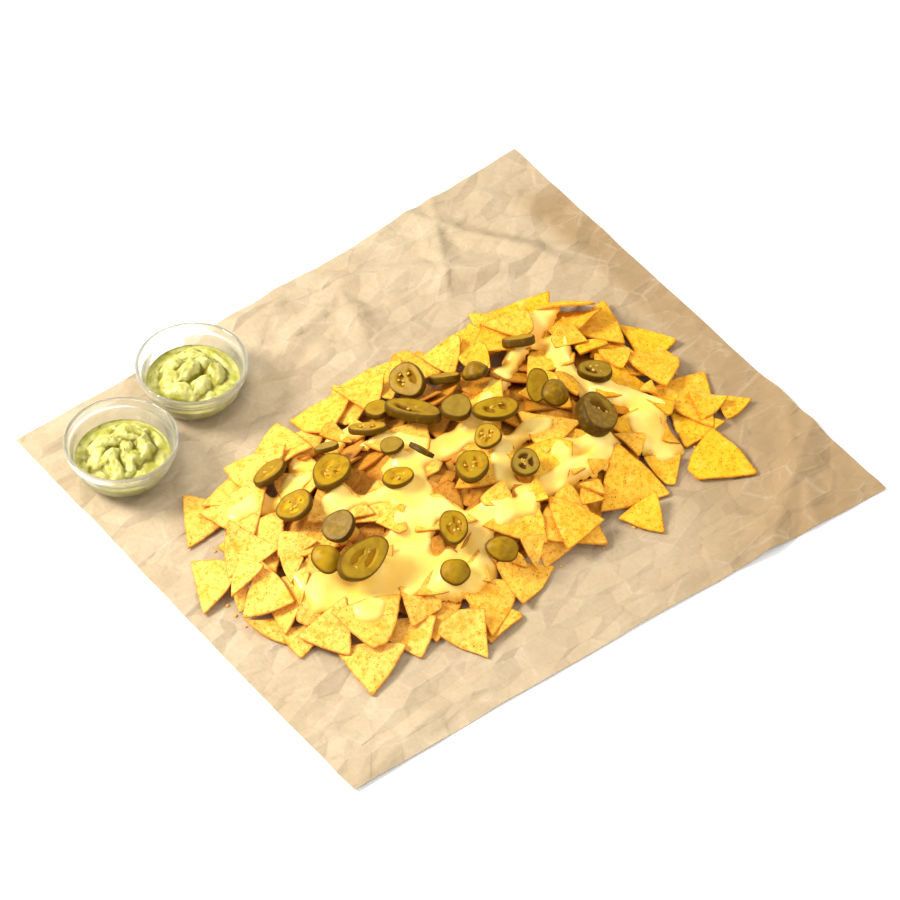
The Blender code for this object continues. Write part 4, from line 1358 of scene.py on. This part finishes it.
# For each slice: how light it is, how grey it is, its chambers, and how much yellow they show
SLICE_LOOKS = [
    (0.55, 0.1, 2, 0.2), (0.6, 0, 0, 0), (0.5, 0, 1, 0), (0.4, 0.8, 0, 0), (0.6, 0, 0, 0),
    (0.2, 0, 0, 0), (0.55, 0, 0, 0), (0.6, 0, 2, 0.2), (0.6, 0, 0, 0), (0.15, 0, 0, 0),
    (0.3, 0.5, 1, 0), (0.15, 0.3, 1, 0.1), (0.8, 0.2, 3, 0.6), (0.6, 0, 2, 0.5), (0.65, 1, 3, 0),
    (0.55, 0, 2, 0.4), (0.5, 0, 0, 0), (0.5, 0, 0, 0), (0.5, 0.4, 1, 0.8), (0.5, 0, 3, 0.9),
    (0.7, 0, 3, 0.8), (0.75, 1, 0, 0), (0.1, 0.6, 0, 0), (0.75, 0, 0, 0), (0.7, 0.2, 2, 0.5),
    (0.75, 0, 2, 0.7), (0.4, 0.8, 0, 0), (0.2, 0, 0, 0), (0.9, 0, 2, 0.9),
]


def solid_pose(index, turn, tip):
    """Directions and middle of a slice's solid, from its own points."""
    node = frame["nodes"][SLICE_NODES[index - 1]]
    points = np.unique(np.array([vertex.co for vertex in node.data.vertices]).round(7), axis=0)
    centred = points - points.mean(axis=0)
    normal = Vector(np.linalg.eigh(centred.T @ centred)[1][:, 0])
    spin = Matrix.Rotation(math.radians(turn), 3, "Z")
    if normal.dot(spin @ Matrix.Rotation(math.radians(tip), 3, "X") @ Vector((0, 0, 1))) < 0:
        normal = -normal
    along = spin @ Vector((1, 0, 0))
    along = (along - normal * along.dot(normal)).normalized()
    axes = np.array([along, normal.cross(along), normal])
    reach = points @ axes.T
    middle = (reach.max(axis=0) + reach.min(axis=0)) / 2 @ axes
    return axes, middle


# %% Shape of a slice
def chamber_mask(angles, out, chambers, rng):
    """1 inside a chamber and 0 on the walls, for each angle on a ring."""
    mask = np.zeros_like(angles)
    for k in range(chambers):
        centre = math.tau * k / chambers + rng.uniform(-0.2, 0.2)
        half = (1.45 if chambers == 1 else 0.78 * math.pi / chambers) * rng.uniform(0.75, 1.05)
        limit = CHAMBER_OUT * rng.uniform(0.82, 1.05)
        away = np.abs((angles - centre + math.pi) % math.tau - math.pi)
        ring = smooth((out - CHAMBER_IN) / 0.07) * smooth((limit - out) / 0.08)
        mask = np.maximum(mask, smooth((half - away) / 0.22) * ring)
    return mask


def slice_arrays(index, row):
    """Points of a fine slice with what its finish reads: skin, pit, tone, grey and yellow."""
    kind, _, _, length, width, thickness, turn, tip = row
    tone, grey, chambers, yellow = SLICE_LOOKS[index - 1]
    rng = random.Random(500 + index)
    axes, middle = solid_pose(index, turn, tip)
    angles = np.arange(SLICE_SPOKES) * math.tau / SLICE_SPOKES
    start = rng.uniform(0, math.tau)
    waves = [(k, size * rng.uniform(0.4, 1), rng.uniform(0, math.tau)) for k, size in OUTLINE_WAVES]
    outline = 1 + sum(size * np.sin(k * angles + phase) for k, size, phase in waves)
    outline /= outline.max()
    chamber_seed = rng.getrandbits(30)
    rows, skins, pits = [], [], []
    for face in (1, -1):
        rings = SLICE_RINGS if face > 0 else SLICE_RINGS[::-1]
        for out, high, skin in rings:
            pit = chamber_mask((angles - start) % math.tau, out, chambers, random.Random(chamber_seed))
            if kind == "cap":
                pit = pit * 0
                high = (1 - 1.3 * out ** 2.4) if face > 0 else 0.95 - 0.5 * out ** 8
            height = face * thickness / 2 * (high - CHAMBER_DEPTH * pit * high)
            u = outline * out * np.cos(angles) * length / 2
            v = outline * out * np.sin(angles) * width / 2
            rows.append(np.column_stack([u, v, height]))
            skins.append(np.full(SLICE_SPOKES, skin))
            pits.append(pit)
    high = thickness / 2 * (1 if kind == "cap" else 0.72)
    local = np.concatenate([[[0, 0, high]], *rows, [[0, 0, -high]]]) * MM
    local[:, 2] += layered_noise(local + index, 6 * MM, 13, 2) * 0.35 * MM
    local[:, 2] += 0.035 * local[:, 0] * math.sin(start) * (np.abs(local[:, 0]) / (length * MM / 2))
    if kind != "cap":
        local[:, 2] = local[:, 2] * SLICE_THINNED - (1 - SLICE_THINNED) / 2 * thickness * MM
    skin, pit = [np.concatenate([[0.0], *parts, [0.0]]) for parts in (skins, pits)]
    return local @ axes + middle, skin, pit, *[np.full(len(local), value) for value in (tone, grey, yellow)]


def seed_arrays(index, row):
    """Small flat seeds near the middle of an open slice."""
    _, _, _, length, width, thickness, turn, tip = row
    chambers = SLICE_LOOKS[index - 1][2]
    rng = random.Random(900 + index)
    axes, middle = solid_pose(index, turn, tip)
    around = np.arange(SEED_SPOKES) * math.tau / SEED_SPOKES
    round_edge, flat = np.column_stack([np.cos(around), np.sin(around), around * 0]), np.array([0, 0, 1])
    rings = [(round_edge * out + flat * height) * SEED_HALF for out, height in SEED_RINGS]
    local = np.concatenate([[flat * SEED_HALF], *rings, [-flat * SEED_HALF]])
    seeds = []
    for _ in range(rng.randint(2, 3) + chambers if chambers else 0):
        angle, out = rng.uniform(0, math.tau), rng.uniform(0.14, 0.46)
        place = [math.cos(angle) * out * length / 2, math.sin(angle) * out * width / 2, thickness * 0.2]
        lean = Matrix.Rotation(rng.uniform(0, math.tau), 3, "Z")
        lean = lean @ Matrix.Rotation(rng.uniform(-0.7, 0.7), 3, "X")
        seeds.append(((local @ np.array(lean).T + place) * MM @ axes + middle,))
    return seeds


# %% Finish of the slices
def pepper_finish():
    finish = Finish("pickled_pepper", Specular_IOR_Level=0.12)
    yellow, skin, pit, tone, grey = [
        finish.attribute(label) for label in ("yellow", "skin", "pit", "tone", "grey")]
    vein = finish.noise(3.2 * MM, 3.0)
    cloud = finish.noise(8 * MM, 2.0)
    flesh = finish.coats(
        finish.mix(tone, srgb(100, 68, 0), srgb(184, 144, 16)),
        (cloud.step(0.4, 0.65) * 0.5, (120, 82, 0)),
        (vein.step(0.42, 0.66) * 0.45, (166, 128, 10)),
        (grey * 0.5, (130, 108, 48)))
    # A chamber is painted dark brown, painted shade in the hole, or the yellow of the sauce under it
    flesh = finish.mix(pit * 0.9, flesh, finish.mix(yellow, srgb(78, 40, 0), srgb(226, 162, 24)))
    rind = finish.mix(tone, srgb(66, 44, 0), srgb(98, 68, 2))
    rind = finish.coats(rind, (vein.step(0.5, 0.75) * 0.45, (124, 88, 4)))
    finish.set("Base Color", finish.mix(skin, flesh, rind))
    finish.set("Roughness", 0.36 + pit * 0.3 + vein * 0.2)
    finish.bump(vein * 0.6 + cloud * 0.4, 0.35 * MM, 0.5)
    return finish.material


def build_slices():
    made = [slice_arrays(index, row) for index, row in enumerate(SLICES, 1)]
    labels = ("skin", "pit", "tone", "grey", "yellow")
    rings = 2 * len(SLICE_RINGS)
    piece = globes_piece("jalapeno_slices", made, SLICE_SPOKES, rings, pepper_finish(), labels)
    finish_piece(piece, "jalapeno", *SLICE_NODES)
    seeds = [seed for index, row in enumerate(SLICES, 1) for seed in seed_arrays(index, row)]
    finish = Finish("pepper_seed", Roughness=0.35)
    finish.set("Base Color", finish.mix(finish.noise(2 * MM), srgb(176, 134, 26), srgb(204, 160, 50)))
    piece = globes_piece("jalapeno_seeds", seeds, SEED_SPOKES, len(SEED_RINGS), finish.material)
    finish_piece(piece, "jalapeno")


build_slices()

# %% [markdown]
# ## Glass pots
# A turned shape is drawn once as half its outline, and swept round its axis. The solid's outline is
# made smooth with a spline through its points, then spun in many steps.

# %% Glass pots
POT_STEPS = 96
POT_PARTS = 4
POT_BASE = SHEET_THICKNESS + GAP


def smooth_profile(points, parts):
    """A rounder line through the points of a profile: a Catmull-Rom spline."""
    padded = [points[0], *points, points[-1]]
    line = []
    for p0, p1, p2, p3 in zip(padded, padded[1:], padded[2:], padded[3:]):
        for k in range(parts):
            t = k / parts
            line.append(tuple(
                0.5 * (2 * b + (c - a) * t + (2 * a - 5 * b + 4 * c - d) * t * t
                       + (3 * b - a - 3 * c + d) * t ** 3)
                for a, b, c, d in zip(p0, p1, p2, p3)))
    line.append(points[-1])
    return [(max(0, radius), height) for radius, height in line]


def glass_finish():
    finish = Finish("clear_glass", Roughness=0.03, IOR=1.5, Transmission_Weight=0.93, Alpha=0.85)
    finish.set("Base Color", (0.94, 0.95, 0.92, 1))
    return finish.material


def build_pot(side, finish):
    x, y = POT_PLACES[side]
    inner = smooth_profile(POT_INSIDE, POT_PARTS)
    outer = smooth_profile(POT_OUTSIDE[:-1], POT_PARTS) + [POT_OUTSIDE[-1]]
    bm = bmesh.new()
    points = [bm.verts.new((radius * MM, 0, height * MM)) for radius, height in inner + outer]
    edges = [bm.edges.new(pair) for pair in zip(points, points[1:])]
    bmesh.ops.spin(bm, geom=points + edges, axis=(0, 0, 1), angle=math.tau, steps=POT_STEPS)
    bmesh.ops.remove_doubles(bm, verts=bm.verts[:], dist=0.01 * MM)
    bmesh.ops.recalc_face_normals(bm, faces=bm.faces[:])
    bmesh.ops.translate(bm, verts=bm.verts[:], vec=(x * MM, y * MM, POT_BASE))
    finish_piece(piece_from(bm, f"pot_{side}", finish), "clear_glass", f"glass_pot_{side}")


glass = glass_finish()
for side in POT_PLACES:
    build_pot(side, glass)

# %% [markdown]
# ## Guacamole
# Mashed avocado holds the marks of the spoon that pushed it in. Its upper side is a field of folds:
# smeared tongues that lie over each other, each with a soft crest and a steep front. It reaches just
# into the glass, so that no air shows between the two.

# %% Guacamole
DIP_EDGE = 16.5 * MM
DIP_TALLEST = 28.5 * MM
DIP_BITE = 0.25 * MM
DIP_SPOKES = 190
DIP_RINGS = 60
CREASE_REACH = 2.8 * MM
# How far the smears wander, and how high the torn lumps and the fine ones are, in mm
DIP_WANDER = 3.0
DIP_TORN = 1.6
DIP_FINE = 0.35
# Smears of a spoon, of which the highest shows: middle, length, width, direction, crest height
SMEARS = {
    "back": [
        (-11, 6, 32, 19, 60, 23), (10, 9, 30, 18, 110, 24), (0, -10, 34, 16, 10, 23),
        (12, -6, 26, 15, 70, 24.5), (-12, -7, 26, 15, -40, 24), (0, 4, 34, 17, 35, 27.5),
        (-5, 12, 26, 14, -10, 26), (11, 3, 20, 12, -60, 26.5),
    ],
    "left": [
        (-10, 8, 30, 18, 30, 24), (10, 8, 28, 17, 140, 25), (2, -10, 34, 16, 20, 23),
        (-12, -6, 28, 15, 80, 24.5), (12, -5, 26, 15, 50, 26), (-4, 9, 30, 15, -25, 27),
        (1, -2, 30, 13, 55, 25), (-9, -1, 22, 11, 0, 26),
    ],
}


def dip_finish():
    finish = Finish("mashed_avocado", Roughness=0.38, Specular_IOR_Level=0.4)
    cloud = finish.noise(9 * MM, 4.0, 0.6)
    chunk = finish.noise(2.6 * MM, 3.0)
    bit = finish.cells(5 * MM)
    fold = finish.attribute("fold")
    green = finish.mix(cloud.step(0.38, 0.62), srgb(162, 156, 52), srgb(192, 186, 104))
    brown = (1 - bit.step(0.08, 0.2)) * chunk.step(0.45, 0.6)
    finish.set("Base Color", finish.coats(
        green,
        (chunk.step(0.52, 0.7) * 0.55, (158, 150, 30)),
        # painted shade in the creases between the folds, and painted light on their crests
        (fold.step(0.45, 0.05) * 0.85, (112, 100, 8)),
        (fold.step(0.55, 0.95) * 0.4, (200, 196, 134)),
        (brown * 0.8, (98, 62, 14))))
    finish.bump(cloud * 0.5 + chunk * 0.5, 1.0 * MM, 0.9)
    return finish.material


def smeared(x, y, side):
    """Height of the mashed avocado at many places: smears, lumps and an uneven foot."""
    spots = flat_points(x, y, 0.01 if side == "back" else 0.02)
    wx = x + layered_noise(spots, 11 * MM, 21, 3).reshape(x.shape) * DIP_WANDER * MM
    wy = y + layered_noise(spots, 11 * MM, 22, 3).reshape(x.shape) * DIP_WANDER * MM
    height = np.full(x.shape, DIP_EDGE)
    for px, py, length, width, direction, crest in SMEARS[side]:
        along, across = along_and_across(wx - px * MM, wy - py * MM, direction)
        along, across = along / (length * MM / 2), across / (width * MM / 2)
        inside = 1 - np.sqrt(along ** 2 + across ** 2)
        lip = np.clip(inside / 0.75, 0, 1) ** 0.7 * (1 - 0.3 * np.clip(across, -1, 1))
        streak = 0.4 * MM * np.sin(across * 9 + along * 2)
        smear = DIP_EDGE + (crest * MM - DIP_EDGE) * lip + streak * np.clip(inside * 4, 0, 1)
        height = np.maximum(height, smear)
    torn = 1 - 2 * np.abs(layered_noise(spots, 12 * MM, 25, 2)).reshape(x.shape)
    fine = 1 - 2 * np.abs(layered_noise(spots, 3.6 * MM, 26, 2)).reshape(x.shape)
    height = height + torn * DIP_TORN * MM + fine * DIP_FINE * MM
    return np.minimum(height, DIP_TALLEST)


def build_dip(side, finish):
    px, py = POT_PLACES[side]
    line = np.array(smooth_profile(POT_INSIDE, POT_PARTS)) * MM
    rim = np.interp(DIP_EDGE, line[:, 1], line[:, 0]) + DIP_BITE
    angles = np.arange(DIP_SPOKES) * math.tau / DIP_SPOKES
    circle = np.column_stack([np.cos(angles), np.sin(angles), angles * 0 + px])
    uneven = layered_noise(circle * 12 * MM, 9 * MM, 27)

    def wall(radius):
        return np.interp(np.maximum(radius - DIP_BITE, 0), line[:, 0], line[:, 1]) - DIP_BITE

    def ring(radius, height):
        level = np.broadcast_to(height, angles.shape)
        return np.column_stack([radius * np.cos(angles), radius * np.sin(angles), level])

    rows, folds = [], []
    for out in np.linspace(0, 1, DIP_RINGS + 1)[1:]:
        x, y = rim * out * np.cos(angles), rim * out * np.sin(angles)
        height = smeared(x, y, side)
        around = [smeared(x + CREASE_REACH * math.cos(turn), y + CREASE_REACH * math.sin(turn), side)
                  for turn in np.arange(6) * math.tau / 6]
        # How far each place stands above its neighbours; the finish uses it to paint shade in the creases and
        # light on the crests
        folds.append(np.clip(0.5 + (height - sum(around) / 6) / (2.6 * MM), 0, 1))
        # Near the wall the avocado drops to its foot
        near = smooth((out - 0.84 - 0.07 * uneven) / 0.13)
        level = np.maximum(height * (1 - near) + (DIP_EDGE - 0.6 * MM) * near, wall(rim * out) + 0.5 * MM)
        rows.append(ring(rim * out, level))
    lower = [ring(rim * out, wall(rim * out)) for out in np.linspace(1, 0, DIP_RINGS // 2 + 1)[:-1]]
    middle = [[0, 0, rows[0][:, 2].mean()]]
    points = np.concatenate([middle, *rows, *lower, [[0, 0, wall(0.0)]]]) + [px * MM, py * MM, POT_BASE]
    fold = np.concatenate([[0.5], *folds, np.full(DIP_SPOKES * len(lower) + 1, 0.5)])
    faces = globe_faces(DIP_SPOKES, len(rows) + len(lower))
    piece = make_piece(f"dip_{side}", points, faces, finish, fold=fold)
    finish_piece(piece, "guacamole", f"guacamole_{side}")


avocado = dip_finish()
for side in POT_PLACES:
    build_dip(side, avocado)

# %% [markdown]
# ## Crumbs
# Broken corn lies round the heap's foot. Geometry Nodes scatter small flat crumbs over a ring
# of ground: they spread points, put one of several crumbs on each, turn and scale it, and then make
# the copies real, because only real mesh is kept.

# %% Crumb shapes and the ground they fall on
CRUMB_COUNT = 90
CRUMB_SIZE = (1.0, 3.6)
CRUMB_RING = (0.98, 1.16)
CRUMB_KINDS = 6
CRUMB_TIP = 0.3
RING_PARTS = 72


def crumb_shape(index):
    """A broken bit of chip: a flat pebble with uneven corners."""
    rng = random.Random(60 + index)
    bm = bmesh.new()
    bmesh.ops.create_icosphere(bm, subdivisions=1, radius=0.5)
    for vertex in bm.verts:
        x, y, z = vertex.co
        vertex.co = (x * rng.uniform(0.7, 1.2), y * rng.uniform(0.5, 1), z * 0.45)
    mesh = bpy.data.meshes.new(f"crumb_{index}")
    bm.to_mesh(mesh)
    bm.free()
    return bpy.data.objects.new(f"crumb_{index}", mesh)


def ring_of_ground():
    """A thin band of faces on the paper just outside the heap's foot."""
    bm = bmesh.new()
    inner, outer = [], []
    for k in range(RING_PARTS):
        angle = math.tau * k / RING_PARTS
        for scale, line in zip(CRUMB_RING, (inner, outer)):
            x = (HEAP_CENTRE[0] + HEAP_HALF[0] * scale * math.cos(angle)) * MM
            y = (HEAP_CENTRE[1] - 4 + HEAP_HALF[1] * scale * math.sin(angle)) * MM
            line.append(bm.verts.new((x, y, SHEET_THICKNESS + 0.5 * MM)))
    for k in range(RING_PARTS):
        after = (k + 1) % RING_PARTS
        bm.faces.new((inner[k], outer[k], outer[after], inner[after]))
    return piece_from(bm, "crumb_ground")


# %% Node tree that scatters the crumbs
def scatter_tree(crumbs, finish):
    """The tree that strews crumbs over a mesh, and the identifiers of its named inputs."""
    tree = bpy.data.node_groups.new("scatter_crumbs", "GeometryNodeTree")

    def socket(label, way, kind):
        return tree.interface.new_socket(label, in_out=way, socket_type=f"NodeSocket{kind}").identifier

    def node(kind, inputs=None, **settings):
        """A node with its settings. Each input is linked to an output or set to a value."""
        made = tree.nodes.new(kind)
        for label, value in settings.items():
            setattr(made, label, value)
        for label, value in (inputs or {}).items():
            if isinstance(value, bpy.types.NodeSocket):
                tree.links.new(value, made.inputs[label])
            else:
                made.inputs[label].default_value = value
        return made

    socket("Geometry", "INPUT", "Geometry")
    names = {label: socket(label, "INPUT", "Float") for label in ("Density", "Smallest", "Largest")}
    names["Seed"] = socket("Seed", "INPUT", "Int")
    socket("Geometry", "OUTPUT", "Geometry")
    given = node("NodeGroupInput").outputs
    ground_inputs = {"Mesh": given["Geometry"], "Density": given["Density"], "Seed": given["Seed"]}
    spread = node("GeometryNodeDistributePointsOnFaces", ground_inputs)
    crumb_inputs = {"Collection": crumbs, "Separate Children": True, "Reset Children": True}
    shapes = node("GeometryNodeCollectionInfo", crumb_inputs)
    limits = {"Min": (-CRUMB_TIP, -CRUMB_TIP, 0), "Max": (CRUMB_TIP, CRUMB_TIP, math.tau)}
    turn = node("FunctionNodeRandomValue", limits, data_type="FLOAT_VECTOR")
    size = node("FunctionNodeRandomValue", data_type="FLOAT")
    floats = [entry for entry in size.inputs if entry.type == "VALUE"]
    tree.links.new(given["Smallest"], floats[0])
    tree.links.new(given["Largest"], floats[1])
    scale = [entry for entry in size.outputs if entry.type == "VALUE"][0]
    put = node("GeometryNodeInstanceOnPoints", {
        "Points": spread.outputs["Points"], "Instance": shapes.outputs["Instances"],
        "Pick Instance": True, "Rotation": turn.outputs["Value"], "Scale": scale})
    real = node("GeometryNodeRealizeInstances", {"Geometry": put.outputs["Instances"]})
    paint = node("GeometryNodeSetMaterial", {"Geometry": real.outputs["Geometry"], "Material": finish})
    node("NodeGroupOutput", {"Geometry": paint.outputs["Geometry"]})
    return tree, names


def scatter_crumbs():
    crumbs = bpy.data.collections.new("crumb_shapes")
    for index in range(CRUMB_KINDS):
        crumbs.objects.link(crumb_shape(index))
    band = ring_of_ground()
    finish = Finish("crumb_corn", Roughness=0.75)
    finish.set("Base Color", finish.mix(finish.noise(4 * MM), srgb(206, 134, 36), srgb(228, 180, 76)))
    tree, names = scatter_tree(crumbs, finish.material)
    area = sum(face.area for face in band.data.polygons)
    modifier = band.modifiers.new("scatter", "NODES")
    modifier.node_group = tree
    modifier[names["Density"]] = CRUMB_COUNT / area
    modifier[names["Smallest"]] = CRUMB_SIZE[0] * MM
    modifier[names["Largest"]] = CRUMB_SIZE[1] * MM
    modifier[names["Seed"]] = 3
    evaluated = band.evaluated_get(bpy.context.evaluated_depsgraph_get())
    mesh = bpy.data.meshes.new_from_object(evaluated)
    mesh.name = "crumbs"
    piece = in_scene("crumbs", mesh)
    bpy.data.objects.remove(band)
    for crumb in list(crumbs.objects):
        bpy.data.objects.remove(crumb)
    bpy.data.collections.remove(crumbs)
    finish_piece(piece, "corn_chip")


scatter_crumbs()
